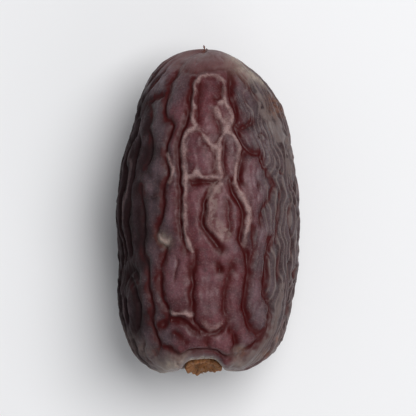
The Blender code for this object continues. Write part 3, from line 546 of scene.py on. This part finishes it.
def relief(skin):
    """The dried skin's height over the smooth one at each point of the grid, and where it is marked.

    Drawn folds and creases are ridges and grooves of a bell-shaped section. Elsewhere the buckled pattern
    gives the grooves, read at moved places so that they wander. Fine folds and pebbles lie over both.
    """
    crinkle = np.stack([skin_noise(seed, CRINKLE_SIZE) for seed in (31, 32, 33)], axis=-1)
    crinkled = skin + CRINKLE * crinkle
    folds, to_fold = drawn(crinkled, RAISED_FOLDS, FOLD_HALF_WIDTH)
    broad, to_broad = drawn(crinkled, BROAD_FOLDS, BROAD_HALF_WIDTH)
    creases, to_crease = drawn(crinkled, CREASES, CREASE_HALF_WIDTH)
    shallow, to_shallow = drawn(crinkled, SHALLOW_CREASES, SHALLOW_HALF_WIDTH)
    to_line = np.minimum.reduce([to_fold, to_crease, to_broad, to_shallow])
    by_hand = 1 - fade(to_line, DRAWN_REACH, DRAWN_REACH + DRAWN_FADE)
    own = FOLD_HEIGHT * folds + BROAD_HEIGHT * broad + DOME_HEIGHT * (1 - bell(to_line, DOME_EDGE))
    own -= np.maximum(CREASE_DEPTH * creases, SHALLOW_DEPTH * shallow)

    steered = STEER_FOLD * (folds + broad) - STEER_GROOVE * creases
    pattern = buckled(FOLD_WIDTH, FOLD_LENGTH, FOLD_SEED, steered)
    loose = np.ones((FOLD_ROWS, COLUMNS))
    loose[:ROWS] = 1 - by_hand
    sideways = loose * (WANDER * blurred_noise(11, WANDER_SIZE) + SHAKE * blurred_noise(12, SHAKE_SIZE))
    pattern = moved(pattern, sideways, loose * DRIFT * blurred_noise(13, WANDER_SIZE))[:ROWS]
    grooves = np.clip((-GROOVE_START - pattern) / GROOVE_WIDTH, 0, 1) ** GROOVE_SHAPE
    share = fade(meridian()[1], NARROW_START, NARROW_END)[:, None]
    others = (DOME_HEIGHT * np.clip(pattern, 0, 1) - GROOVE_DEPTH * grooves) * share

    fine, flank = fine_folds(skin)
    fine_height = FINE_HEIGHT + (FINE_FLANK_HEIGHT - FINE_HEIGHT) * np.clip(flank, 0, 1)
    small = (fine_height * fine + PEBBLE_HEIGHT * skin_noise(61, PEBBLE_SIZE)) * share
    tip_kept, kept = roughness_left(skin)
    height = (by_hand * own + (1 - by_hand) * others) * tip_kept * kept
    height += small * (0.3 + 0.7 * tip_kept) * kept + LUMP_HEIGHT * skin_noise(41, LUMP_SIZE)

    uneven = 1 + FOLD_UNEVEN * np.clip(skin_noise(72, 1.4), -2, 2)
    wide = np.maximum(bell(to_crease, CREASE_STAIN * uneven), 0.7 * bell(to_shallow, SHALLOW_STAIN * uneven))
    narrow = bell(to_fold, FOLD_HALF_WIDTH * FOLD_STAIN * uneven)
    faint = marked(crinkled, FAINT_FOLDS, FOLD_HALF_WIDTH)
    pale = marked(crinkled, HIGHLIGHT_FOLDS, BROAD_HALF_WIDTH)
    broad_pale = 1.2 * bell(to_broad, 1.3 * BROAD_HALF_WIDTH) * fade(skin_noise(73, 2.0), -2.5, 0.5)
    stalk = seen_from_above(skin, *ARCH_STALK)
    crests = fade(pattern, 0.55, 0.95) * fade(skin_noise(71, 6.0), 0.2, 1.4) * share
    raised = np.clip((pattern - 0.1) / 0.6, 0, 1)
    return height, {
        "crease": np.maximum(by_hand * wide * (1 - 0.85 * narrow), (1 - by_hand) * grooves * share) * kept,
        "fold": np.maximum.reduce([by_hand * narrow * (1 - 0.5 * faint), 0.6 * (1 - by_hand) * crests,
                                   stalk * broad_pale]) * kept,
        # Plate middles, away from the lines: where the waxy bloom and a painted sheen go
        "plate_top_bloom_and_sheen": by_hand * (1 - bell(to_line, PLATE_EDGE)) + (1 - by_hand) * raised,
        "fine": np.maximum(fine * np.clip(0.1 + flank, 0, 1), by_hand * broad_pale * (1 - stalk)),
        # Where highlights are painted in the lip's colour: on the listed folds and spots
        "pale": np.clip(pale + 0.4 * spotted(skin, HIGHLIGHT_SPOTS), 0, 1),
    }


def colour_marks(skin):
    """Where the skin is redder, greyer, amber or scuffed, pale at an end with a painted highlight round the
    stem's lip, and darker on the left side with painted shade, each 0 to 1.
    """
    wander = skin_noise(81, 4.0)
    x = skin[..., 0] + 0.8 * wander
    to_tip = fade(skin[..., 1], *TIPWARDS)
    upper = fade(skin[..., 2], 9, 15)
    scuff_far, _ = line_distance(skin + 0.35 * wander[..., None], smooth_line(laid_on_top(SCUFF_LINE)))
    _, aside, turn = in_hollow(skin)
    # Painted highlight round the stem's lip, strongest along its top
    lip = bell(aside - LIP_RADIUS, LIP_HALF_WIDTH) * fade(-skin[..., 1], 15, 20)
    return {
        "red": np.exp(-(((x - RED_CENTRE_X) / (RED_HALF_WIDTH - 1.8 * to_tip)) ** 4)) * upper,
        "grey": np.maximum(fade(x + FLANK_LEAN * to_tip, GREY_START_X, GREY_FULL_X), 0.4 * (1 - upper)),
        "end": fade(0.03 * x**2 - skin[..., 1] + 0.5 * wander, *STEM_GREY),
        "amber": spotted(skin, AMBER_SPOTS),
        "scuff": 1 - fade(scuff_far, 0.55 * SCUFF_HALF_WIDTH, SCUFF_HALF_WIDTH),
        "lip": lip * (0.5 + 0.5 * np.sin(turn)),
        "cap": 1 - fade(from_tip(skin) + 0.35 * wander, *CAP_PALE),
        # Painted shade: the left side darkened
        "dark": fade(-x, *PAINTED_SHADE_SIDE),
    }


def rested(points):
    """The points with those under the floor raised: flat in the resting spot, rising gently outside it."""
    spot = np.array(RESTING_SPOT)
    edges = np.roll(spot, -1, axis=0) - spot
    outward = np.stack([edges[:, 1], -edges[:, 0]], axis=-1)
    outward /= np.linalg.norm(edges, axis=1, keepdims=True)
    beyond = (points[..., None, :2] - spot) * outward
    rise = LEAVING_SLOPE * np.maximum(beyond.sum(axis=-1).max(axis=-1), 0)
    places = points.copy()
    places[..., 2] = np.maximum(points[..., 2], rise)
    return places


@functools.cache
def skin_grid():
    """The finished skin as rows by columns of points, and its marks."""
    skin = smooth_skin()
    height, marks = relief(skin)
    points = skin + height[..., None] * normals(skin)
    return rested(stem_end(points)), {**marks, **colour_marks(skin)}


def offset():
    """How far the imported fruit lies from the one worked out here."""
    low, high = (np.array(corner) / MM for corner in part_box("fruit"))
    points, _ = skin_grid()
    own_low, own_high = points.min(axis=(0, 1)), points.max(axis=(0, 1))
    return np.array([(low[0] + high[0] - own_low[0] - own_high[0]) / 2, low[1] - own_low[1], 0.0])


def calyx_grid():
    """The calyx's remains: a profile turned round the hollow's axis, its rim lobed in three and torn into
    teeth, with ribs like spokes and seeded lumps."""
    profile = smooth_line(np.array(CALYX_PROFILE), CALYX_STEPS)
    turn = np.linspace(0, 2 * np.pi, CALYX_COLUMNS, endpoint=False)
    radius, out = profile[:, :1], profile[:, 1:]
    rim = (radius / radius.max()) ** 3
    lobed = radius * (1 + CALYX_LOBES * np.cos(3 * turn + 0.5) * rim)
    torn = CALYX_TEETH * (np.cos(3 * turn + 0.5) + 0.6 * np.cos(7 * turn) + 0.5 * np.cos(11 * turn + 2))
    draw = np.random.default_rng(5)
    ribs = sum(np.cos(k * turn + draw.uniform(0, 6.3)) for k in (17, 23, 29, 37)) / 4
    lumps = sum(np.cos(k * turn + 2.5 * radius + draw.uniform(0, 6.3)) for k in (4, 5, 9, 13)) / 4
    front = out > 0
    worn = 0.09 * ribs * np.minimum(radius, 1.5) + 0.16 * lumps * rim
    out = out + rim * torn * front + worn * front
    lobed = lobed * (1 + 0.03 * rim * ribs)
    across = (lobed * np.cos(turn))[..., None] * SIDEWAYS + (lobed * np.sin(turn))[..., None] * UPWARDS
    # Paler along the raised ribs: partly fibres, partly a painted highlight
    rib_fibre_and_highlight = np.clip(0.5 + 0.8 * ribs + 0 * radius, 0, 1)
    return MOUTH + across + out[..., None] * OUTWARDS, {"rib_fibre_and_highlight": rib_fibre_and_highlight}


def thread_grid(path, radii, sides):
    """A thin tapered tube: a circle of each radius square to the path at each of its points."""
    ahead = np.gradient(path, axis=0)
    ahead /= np.linalg.norm(ahead, axis=1, keepdims=True)
    beside = np.cross(ahead, [0.3, 0.2, 0.93])
    beside /= np.linalg.norm(beside, axis=1, keepdims=True)
    above = np.cross(ahead, beside)
    turn = np.linspace(0, 2 * np.pi, sides, endpoint=False)[None, :, None]
    radii = np.array(radii)[:, None, None]
    return path[:, None] + radii * (np.cos(turn) * beside[:, None] + np.sin(turn) * above[:, None])


def calyx_threads(count, seed):
    """Broken threads of the stalk: each starts in the stub or the rim and bends away from the axis."""
    draw = np.random.default_rng(seed)
    grids = []
    for i in range(count):
        angle = 2 * np.pi * i / count + draw.uniform(-0.15, 0.15)
        starts, lengths, base = STUB_THREADS if i % 3 else RIM_THREADS
        start, length = draw.uniform(*starts), draw.uniform(*lengths)
        t = np.linspace(0, 1, 9)[:, None]
        lean = draw.uniform(0.25, 0.9)
        spread = start + lean * length * t**1.4
        sway = draw.uniform(-0.25, 0.25) * t**2
        radial = np.cos(angle + sway) * SIDEWAYS + np.sin(angle + sway) * UPWARDS
        rise = base + length * (t - 0.35 * lean * t**2)
        path = MOUTH + spread * radial + rise * OUTWARDS
        thick = draw.uniform(0.07, 0.12)
        grids.append(thread_grid(path, thick * (1 - 0.75 * t[:, 0] ** 2) + 0.01, 6))
    return grids


def style_grid(length, radius):
    """The dried style: a thin crooked thread that widens into a small foot on the tip."""
    t = np.linspace(0, 1, 22)
    foot = np.array([bend(TIP_Y) - 0.4, TIP_Y - 0.35, middle_height(TIP_Y) + 0.1])
    bow = np.stack([0.10 * np.sin(3.5 * t), (length + 0.35) * t, 0.12 * t**2], axis=-1)
    flare = radius * (0.55 + 1.6 * np.exp(-((t / 0.16) ** 2)) + 0.12 * np.sin(19 * t))
    taper = np.where(t > 0.85, 1 - 0.65 * (t - 0.85) / 0.15, 1)
    return thread_grid(foot + bow, flare * taper, 20)


def joined(grids):
    """Several closed grids as one list of points and one of faces."""
    points, faces, start = [], [], 0
    for grid in grids:
        own, own_faces = closed_grid(grid)
        points.append(own)
        faces += [[corner + start for corner in face] for face in own_faces]
        start += len(own)
    return np.concatenate(points), faces


def new_piece(name, grids, marks, material, replaced=()):
    """Makes a piece of closed grids, marks it with point attributes, and ties it to the model."""
    points, faces = joined(grids)
    mesh = bpy.data.meshes.new(name)
    mesh.from_pydata(((points + offset()) * MM).tolist(), [], faces)
    for mark, values in marks.items():
        flat = [values[1:-1].ravel(), [values[0].mean(), values[-1].mean()]]
        layer = mesh.attributes.new(mark, "FLOAT", "POINT")
        layer.data.foreach_set("value", np.concatenate(flat).astype(np.float32))
    bm = bmesh.new()
    bm.from_mesh(mesh)
    bmesh.ops.recalc_face_normals(bm, faces=bm.faces)
    bm.to_mesh(mesh)
    bm.free()
    mesh.shade_smooth()
    mesh.materials.append(material)
    piece = bpy.data.objects.new(name, mesh)
    bpy.context.scene.collection.objects.link(piece)
    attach(piece, "root")
    if replaced:
        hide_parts(*replaced)


class Shader:
    """Short ways to add nodes to a tree. A value is a number, a colour, or an output to link."""

    def __init__(self, tree):
        self.tree = tree

    def add(self, kind, inputs=(), **settings):
        node = self.tree.nodes.new(kind)
        for name, value in settings.items():
            setattr(node, name, value)
        self.fill(node, dict(inputs))
        return node

    def fill(self, node, inputs):
        for socket, value in inputs.items():
            self.put(node.inputs[socket], value)

    def put(self, socket, value):
        if isinstance(value, bpy.types.NodeSocket):
            self.tree.links.new(value, socket)
        else:
            socket.default_value = value

    def mark(self, name):
        return self.add("ShaderNodeAttribute", attribute_name=name).outputs["Fac"]

    def mix(self, share, first, second):
        return self.add("ShaderNodeMix", {0: share, 6: first, 7: second}, data_type="RGBA").outputs[2]

    def math(self, operation, first, second, clamp=False):
        settings = {"operation": operation, "use_clamp": clamp}
        return self.add("ShaderNodeMath", {0: first, 1: second}, **settings).outputs[0]

    def times(self, *values):
        return functools.reduce(functools.partial(self.math, "MULTIPLY"), values)

    def plus(self, *values):
        return functools.reduce(functools.partial(self.math, "ADD"), values)

    def ramp(self, value, low, high, to_low=0.0, to_high=1.0):
        inputs = {"Value": value, "From Min": low, "From Max": high, "To Min": to_low, "To Max": to_high}
        return self.add("ShaderNodeMapRange", inputs, interpolation_type="SMOOTHSTEP").outputs[0]

    def texture(self, group, size, **values):
        """One of the shared textures, at a size in millimetres."""
        place = self.add("ShaderNodeTexCoord").outputs["Object"]
        inputs = {"Place": place, "Size": size, **values}
        return self.add("ShaderNodeGroup", inputs, node_tree=bpy.data.node_groups[group]).outputs[0]

    def bump(self, strength, millimetres, height):
        inputs = {"Strength": strength, "Distance": millimetres * MM, "Height": height}
        return self.add("ShaderNodeBump", inputs).outputs[0]


def new_group(name, inputs, output):
    """A shader node group of numbers at a place: (shader, inputs, outputs)."""
    tree = bpy.data.node_groups.new(name, "ShaderNodeTree")
    tree.interface.new_socket("Place", in_out="INPUT", socket_type="NodeSocketVector")
    for label, default in inputs.items():
        socket = tree.interface.new_socket(label, in_out="INPUT", socket_type="NodeSocketFloat")
        socket.default_value = default
    tree.interface.new_socket(output, in_out="OUTPUT", socket_type="NodeSocketFloat")
    shader = Shader(tree)
    return shader, shader.add("NodeGroupInput").outputs, shader.add("NodeGroupOutput").inputs


def blotch_group():
    """Soft blotches of a size in millimetres: noise pushed towards 0 and 1 by its contrast."""
    shader, given, out = new_group("Blotches", {"Size": 3.0, "Contrast": 3.0}, "Mask")
    scale = shader.math("DIVIDE", 1 / MM, given["Size"])
    inputs = {"Vector": given["Place"], "Scale": scale, "Detail": 4.0, "Roughness": 0.6}
    noise = shader.add("ShaderNodeTexNoise", inputs).outputs[0]
    centred = shader.times(shader.math("SUBTRACT", noise, 0.5), given["Contrast"])
    shader.put(out["Mask"], shader.math("ADD", centred, 0.5, clamp=True))


def grain_group():
    """Fine leathery grain: rounded cells crossed by finer noise, as a height from 0 to 1."""
    shader, given, out = new_group("Leathery grain", {"Size": 0.5}, "Height")
    scale = shader.math("DIVIDE", 1 / MM, given["Size"])
    inputs = {"Vector": given["Place"], "Scale": scale}
    wander = shader.add("ShaderNodeTexNoise", {**inputs, "Detail": 3.0})
    cells = shader.add("ShaderNodeTexVoronoi", inputs, feature="SMOOTH_F1")
    finer = {**inputs, "Scale": shader.times(scale, 3.0), "Detail": 3.0, "Roughness": 0.65}
    fine = shader.add("ShaderNodeTexNoise", finer)
    tops = shader.math("SUBTRACT", 1.0, cells.outputs["Distance"])
    height = shader.plus(shader.times(tops, wander.outputs[0]), shader.times(fine.outputs[0], 0.45))
    shader.put(out["Height"], height)


def new_material(name):
    """(material, shader, its Principled BSDF)."""
    shared_groups()
    material = bpy.data.materials.new(name)
    material.use_nodes = True
    return material, Shader(material.node_tree), material.node_tree.nodes["Principled BSDF"]


def skin_material(colours, finish):
    """Plum-brown skin: plates red at their edges and grey-plum in their middles, the middles partly waxy
    bloom and partly painted sheen, dark red creases, pale raised folds and a thin bloom. The middle of the
    upper side is redder and the flanks are greyer. Shade is painted over the left side and into its crease
    cores, and highlights are painted round the stem's lip, along the tip's shoulder and on a few folds.
    """
    material, shader, surface = new_material("date skin")
    ramp, times, math = shader.ramp, shader.times, shader.math
    creases, folds, plates, fine, pale = map(shader.mark, ("crease", "fold", "plate_top_bloom_and_sheen", "fine", "pale"))
    red, grey, dark, amber = map(shader.mark, ("red", "grey", "dark", "amber"))
    scuff, lip, cap, end = map(shader.mark, ("scuff", "lip", "cap", "end"))
    broad, patchy, small = (shader.texture("Blotches", size) for size in (6.0, 2.2, 0.8))
    specks = shader.texture("Blotches", 0.25, Contrast=3.5)

    def over(skin, name, *shares):
        """The skin under a layer of the named colour, as far as all its shares let it show."""
        return shader.mix(times(*shares), skin, (*getattr(colours, name), 1))

    # Plate edges, darkened by painted shade on the left side
    edges = over((*colours.plum, 1), "red_brown", red)
    edges = over(edges, "bloom", ramp(grey, 0.1, 1.2, 0, 0.5))
    edges = over(edges, "dark_spots_and_shade", ramp(dark, 0, 0.6, 0, 0.85))
    # Plate middles: grey-lavender, partly waxy bloom and partly painted sheen; on the left side they take
    # painted shade
    middles = over((*colours.plate_top_bloom_and_sheen, 1), "red_plate", red)
    middles = over(middles, "bloom", grey, ramp(patchy, 0.1, 0.9, 0.4, 0.9))
    middles = over(middles, "shaded_plate", ramp(dark, 0, 1, 0, 0.9))
    domed = times(plates, ramp(patchy, 0.1, 0.9, 0.55, 1))
    skin = shader.mix(domed, edges, middles)

    stained = times(ramp(creases, 0, 0.85), ramp(grey, 0.2, 1, 1, 0.7))
    worn = times(ramp(patchy, 0.15, 0.7, 0.4, 0.95), ramp(specks, 0, 0.6, 0.6, 1))
    # The raised folds' pale colour, a painted highlight on left_flash, left_knee and left_shelf, and dimmed
    # on the left side by painted shade
    raised = times(ramp(folds, 0.05, 0.95), worn, ramp(dark, 0.3, 0.9, 1, 0.35))
    layers = [
        ("dark_spots_and_shade", ramp(broad, 0.35, 0.9, 0, 0.35)),
        # Painted shade in blotches over the left side
        ("dark_spots_and_shade", ramp(patchy, 0.4, 0.75), ramp(dark, 0, 0.5), 0.7),
        ("bloom", ramp(small, 0.5, 0.95, 0, 0.3)),
        ("fold", ramp(specks, 0.6, 1, 0, 0.16)),
        ("dark_spots_and_shade", ramp(specks, 0.4, 0, 0, 0.22)),
        ("ridge", ramp(fine, 0.3, 0.85, 0, 0.8)),
        ("crease", ramp(fine, -0.15, -0.8, 0, 0.5)),
        ("crease", stained),
        # Painted shade: the crease cores darkened, most on the left side, and the whole left side darkened
        # except on the plate tops
        ("dark_spots_and_shade", ramp(creases, 0.65, 1, 0, 0.7), ramp(dark, 0, 0.7, 0.15, 1)),
        ("dark_spots_and_shade", ramp(dark, 0.2, 0.9, 0, 0.95), ramp(domed, 0.3, 0.9, 1, 0.45)),
        ("scuff", scuff, ramp(small, 0.2, 0.8, 0.1, 0.7)),
        ("fold", raised),
        ("cap", cap, ramp(patchy, 0.1, 0.9, 0.6, 1)),
        ("ridge", end, ramp(patchy, 0.1, 0.9, 0.3, 1)),
        # Painted highlights in the lip's cream colour: round the top of the stem's lip, and on the folds and
        # spots listed for them
        ("lip", lip, ramp(small, 0.1, 0.8, 0.5, 1)),
        ("lip", pale, ramp(small, 0.1, 1, 0.3, 0.6)),
        ("amber", amber, ramp(small, 0.2, 0.7, 0.05, 0.35)),
    ]
    for name, *shares in layers:
        skin = over(skin, name, *shares)

    dry = math("MAXIMUM", raised, math("MAXIMUM", scuff, lip))
    rough = ramp(small, 0.1, 0.9, finish.roughness - 0.08, finish.roughness + 0.1)
    waxy = times(math("SUBTRACT", 1, stained), ramp(patchy, 0, 1, 0.3, 1))
    waxy = times(waxy, math("SUBTRACT", 1, dry, clamp=True), ramp(dark, 0.2, 0.8, 1, 0))
    grain = shader.plus(shader.texture("Leathery grain", 0.45), times(specks, 0.3))
    shader.fill(surface, {
        "Base Color": skin,
        "Roughness": shader.plus(rough, times(dry, 0.15), times(dark, 0.4)),
        "Coat Weight": times(waxy, finish.coat),
        "Coat Roughness": 0.4,
        "Normal": shader.bump(finish.grain, 0.06, grain),
        "Specular IOR Level": finish.specular,
        "Subsurface Weight": finish.glow,
        "Subsurface Radius": (1, 0.25, 0.12),
        "Subsurface Scale": 0.9 * MM,
        "Sheen Weight": finish.sheen,
        "Sheen Roughness": 0.45,
        "Sheen Tint": (0.85, 0.80, 0.82, 1),
    })
    return material


def wood_material(colours):
    """Dry calyx wood: orange-brown, dark between the ribs and paler along them, the paler ribs partly fibres
    and partly a painted highlight, with pale specks.
    """
    material, shader, surface = new_material("calyx wood")
    specks = shader.texture("Blotches", 0.2)
    pale = (*colours.wood_pale, 1)
    wood = shader.mix(shader.texture("Blotches", 0.9), (*colours.wood_dark, 1), (*colours.wood, 1))
    wood = shader.mix(shader.times(shader.mark("rib_fibre_and_highlight"), 0.5), wood, pale)
    wood = shader.mix(shader.ramp(specks, 0.5, 1, 0, 0.5), wood, pale)
    bump = shader.bump(0.7, 0.08, shader.texture("Leathery grain", 0.3))
    rough = shader.ramp(specks, 0, 1, 0.6, 0.85)
    shader.fill(surface, {"Base Color": wood, "Roughness": rough, "Normal": bump})
    return material


def thread_material(name, dark, pale):
    """Dry thread: paler and darker along its length."""
    material, shader, surface = new_material(name)
    blotches = shader.texture("Blotches", 0.35)
    thread = shader.mix(blotches, (*dark, 1), (*pale, 1))
    bump = shader.bump(0.5, 0.03, shader.texture("Leathery grain", 0.15))
    rough = shader.ramp(blotches, 0, 1, 0.55, 0.75)
    shader.fill(surface, {"Base Color": thread, "Roughness": rough, "Normal": bump})
    return material


def floor_material():
    """A plain pale floor."""
    material, shader, surface = new_material("pale floor")
    shader.fill(surface, {"Base Color": FLOOR_COLOUR, "Roughness": 0.6})
    return material


def soft_light(name, power, place, side):
    """A square area light at the place, in metres, that faces the fruit."""
    data = bpy.data.lights.new(name, "AREA")
    data.energy = power
    data.size = side
    light = bpy.data.objects.new(name, data)
    light.location = place
    light.rotation_euler = Vector(place).to_track_quat("Z", "Y").to_euler()
    return light


def shared_groups():
    """Builds the node groups that the materials share, once."""
    for name, build in (("Blotches", blotch_group), ("Leathery grain", grain_group)):
        if name not in bpy.data.node_groups:
            build()


def colour(name, description, value):
    return FloatVectorProperty(name=name, description=description, subtype="COLOR", size=3, min=0, max=1,
                               default=value)


def share(name, description, value):
    return FloatProperty(name=name, description=description, subtype="FACTOR", min=0, max=1, default=value)


def length(name, description, least, most, value):
    return FloatProperty(name=name, description=description, subtype="DISTANCE", unit="LENGTH", min=least,
                         max=most, default=value)


def power(name, description, value):
    return FloatProperty(name=name, description=description, subtype="POWER", unit="POWER", min=0, max=50,
                         default=value)


class DateColours(PropertyGroup):
    """The colours of the skin and of the calyx."""

    plum: colour("Plate edges", "Plate edges away from the middle", (0.022, 0.006, 0.008))
    red_brown: colour("Middle plate edges", "Plate edges along the middle line", (0.074, 0.01, 0.012))
    # Plate middles: partly waxy bloom, partly painted sheen
    plate_top_bloom_and_sheen: colour("Plates", "Plates away from the middle line", (0.148, 0.104, 0.119))
    red_plate: colour("Middle plates", "Plates along the middle line", (0.15, 0.056, 0.068))
    shaded_plate: colour("Shaded plates", "Plates on the darker side", (0.085, 0.055, 0.068))
    crease: colour("Creases", "Floor of a crease", (0.046, 0.0012, 0.0016))
    # Dark blotches and specks of the skin's own, and the colour of the shade painted over the left side and
    # into the crease cores
    dark_spots_and_shade: colour("Deepest places", "Darkest places of the skin", (0.014, 0.004, 0.005))
    # Pale crests of the raised folds; on left_flash, left_knee and left_shelf this colour is a painted
    # highlight
    fold: colour("Raised folds", "Dry crest of a raised fold", (0.28, 0.182, 0.174))
    ridge: colour("Flank ridges", "Crests of the fine folds on the flanks", (0.138, 0.102, 0.096))
    bloom: colour("Bloom", "Thin waxy film on the flanks", (0.048, 0.03, 0.03))
    scuff: colour("Scuffed patch", "Patch where the skin has rubbed", (0.225, 0.15, 0.138))
    cap: colour("Tip cap", "Smooth cap round the tip", (0.125, 0.062, 0.061))
    # Cream colour of the highlights painted round the stem's lip, on the tip's shoulder and on the left knee
    lip: colour("Stem lip", "Dry lip round the stem's hollow", (0.42, 0.35, 0.29))
    amber: colour("Amber spots", "Spots where the flesh shows through", (0.2, 0.07, 0.022))
    wood: colour("Calyx", "Dry calyx wood", (0.285, 0.088, 0.018))
    wood_dark: colour("Dark calyx", "Calyx wood in its hollows", (0.07, 0.019, 0.004))
    # Paler ribs and torn edges: partly the fibres' colour, partly a painted highlight on the raised ribs
    wood_pale: colour("Pale calyx", "Torn edges and ribs of the calyx", (0.43, 0.22, 0.085))
    style: colour("Style", "The dried style on the tip", (0.18, 0.06, 0.035))


class DateFinish(PropertyGroup):
    """How the surface takes the light, and the sizes of the small pieces."""

    roughness: share("Roughness", "Roughness of the plates", 0.42)
    grain: share("Grain", "Strength of the fine leathery grain", 0.35)
    glow: share("Glow", "Share of the light that passes through the skin", 0.05)
    specular: share("Reflection", "Strength of the skin's own reflection", 0.2)
    sheen: share("Sheen", "Dusty sheen at grazing angles", 0.01)
    coat: share("Gloss", "Waxy gloss over the plates", 0.12)
    threads: IntProperty(name="Threads", description="Threads on the calyx", min=0, max=60, default=27)
    style_length: length("Style length", "How far the style stands out of the tip", 0.0, 0.003, 0.0009)
    style_radius: length("Style radius", "Half-width of the style", 0.0001, 0.001, 0.00022)


class DateStage(PropertyGroup):
    """The camera, the light and the floor."""

    view_height: length("View height", "What the picture spans at the fruit's middle", 0.03, 0.3, 0.064)
    lens: FloatProperty(name="Lens", description="Focal length in millimetres", subtype="DISTANCE_CAMERA",
                        min=20, max=600, default=400)
    key_power: power("Main light", "Power of the main soft light", 4.2)
    fill_power: power("Second light", "Power of the second soft light", 0.5)
    surround: FloatProperty(name="Surround", description="Strength of the pale surround", min=0, max=5,
                            default=0.27)


class DATE_OT_skin(Operator):
    """Make the wrinkled skin in place of the fruit's solid"""

    bl_idname = "date.skin"
    bl_label = "Skin"

    def execute(self, context):
        points, marks = skin_grid()
        material = skin_material(context.scene.date_colours, context.scene.date_finish)
        new_piece("date_skin", [points], marks, material, ["fruit"])
        return {"FINISHED"}


class DATE_OT_calyx(Operator):
    """Make the torn calyx and its broken threads in place of the calyx's solid"""

    bl_idname = "date.calyx"
    bl_label = "Calyx"

    def execute(self, context):
        colours, finish = context.scene.date_colours, context.scene.date_finish
        points, marks = calyx_grid()
        new_piece("calyx_wood", [points], marks, wood_material(colours), ["calyx_remnant"])
        threads = calyx_threads(finish.threads, THREAD_SEED)
        material = thread_material("calyx threads", colours.wood_dark, colours.wood_pale)
        new_piece("calyx_threads", threads, {}, material)
        return {"FINISHED"}


class DATE_OT_style(Operator):
    """Make the dried style on the fruit's tip"""

    bl_idname = "date.style"
    bl_label = "Style"

    def execute(self, context):
        finish = context.scene.date_finish
        points = style_grid(finish.style_length / MM, finish.style_radius / MM)
        colours = context.scene.date_colours
        material = thread_material("dried style", colours.crease, colours.style)
        new_piece("style", [points], {}, material)
        return {"FINISHED"}


class DATE_OT_stage(Operator):
    """Make the pale floor, the soft lights and the camera that looks straight down"""

    bl_idname = "date.stage"
    bl_label = "Stage"

    def execute(self, context):
        stage = context.scene.date_stage
        bpy.ops.mesh.primitive_plane_add(size=FLOOR_SIDE)
        floor = context.active_object
        floor.name = "floor"
        floor.data.materials.append(floor_material())
        lights = [soft_light("main light", stage.key_power, MAIN_LIGHT_PLACE, MAIN_LIGHT_SIDE),
                  soft_light("second light", stage.fill_power, SECOND_LIGHT_PLACE, SECOND_LIGHT_SIDE)]
        camera = bpy.data.objects.new("camera", bpy.data.cameras.new("camera"))
        camera.data.lens = stage.lens
        low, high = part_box("fruit")
        away = stage.view_height * stage.lens / camera.data.sensor_width
        camera.location = (low + high) / 2 + Vector((0, 0, away))
        camera.data.clip_end = 10.0
        for item in (*lights, camera):
            context.scene.collection.objects.link(item)
        context.scene.camera = camera
        world = bpy.data.worlds.new("pale surround")
        world.use_nodes = True
        background = world.node_tree.nodes["Background"]
        background.inputs["Color"].default_value = SURROUND_COLOUR
        background.inputs["Strength"].default_value = stage.surround
        context.scene.world = world
        context.scene.view_settings.view_transform = "Standard"
        return {"FINISHED"}


class DATE_PT_sidebar(Panel):
    """Lists the operators and the values they read"""

    bl_label = "Dried date"
    bl_idname = "DATE_PT_sidebar"
    bl_space_type = "VIEW_3D"
    bl_region_type = "UI"
    bl_category = "Date"

    def draw(self, context):
        for piece in PIECES:
            self.layout.operator(piece.bl_idname)
        for group in (context.scene.date_colours, context.scene.date_finish, context.scene.date_stage):
            box = self.layout.box()
            for name in group.__annotations__:
                box.prop(group, name)


PIECES = (DATE_OT_skin, DATE_OT_calyx, DATE_OT_style, DATE_OT_stage)
CLASSES = (DateColours, DateFinish, DateStage, *PIECES, DATE_PT_sidebar)


def register():
    for each in CLASSES:
        bpy.utils.register_class(each)
    bpy.types.Scene.date_colours = PointerProperty(type=DateColours)
    bpy.types.Scene.date_finish = PointerProperty(type=DateFinish)
    bpy.types.Scene.date_stage = PointerProperty(type=DateStage)


def unregister():
    del bpy.types.Scene.date_colours, bpy.types.Scene.date_finish, bpy.types.Scene.date_stage
    for each in reversed(CLASSES):
        bpy.utils.unregister_class(each)


def main():
    register()
    bpy.ops.date.skin()
    bpy.ops.date.calyx()
    bpy.ops.date.style()
    bpy.ops.date.stage()


if __name__ == "__main__":
    main()
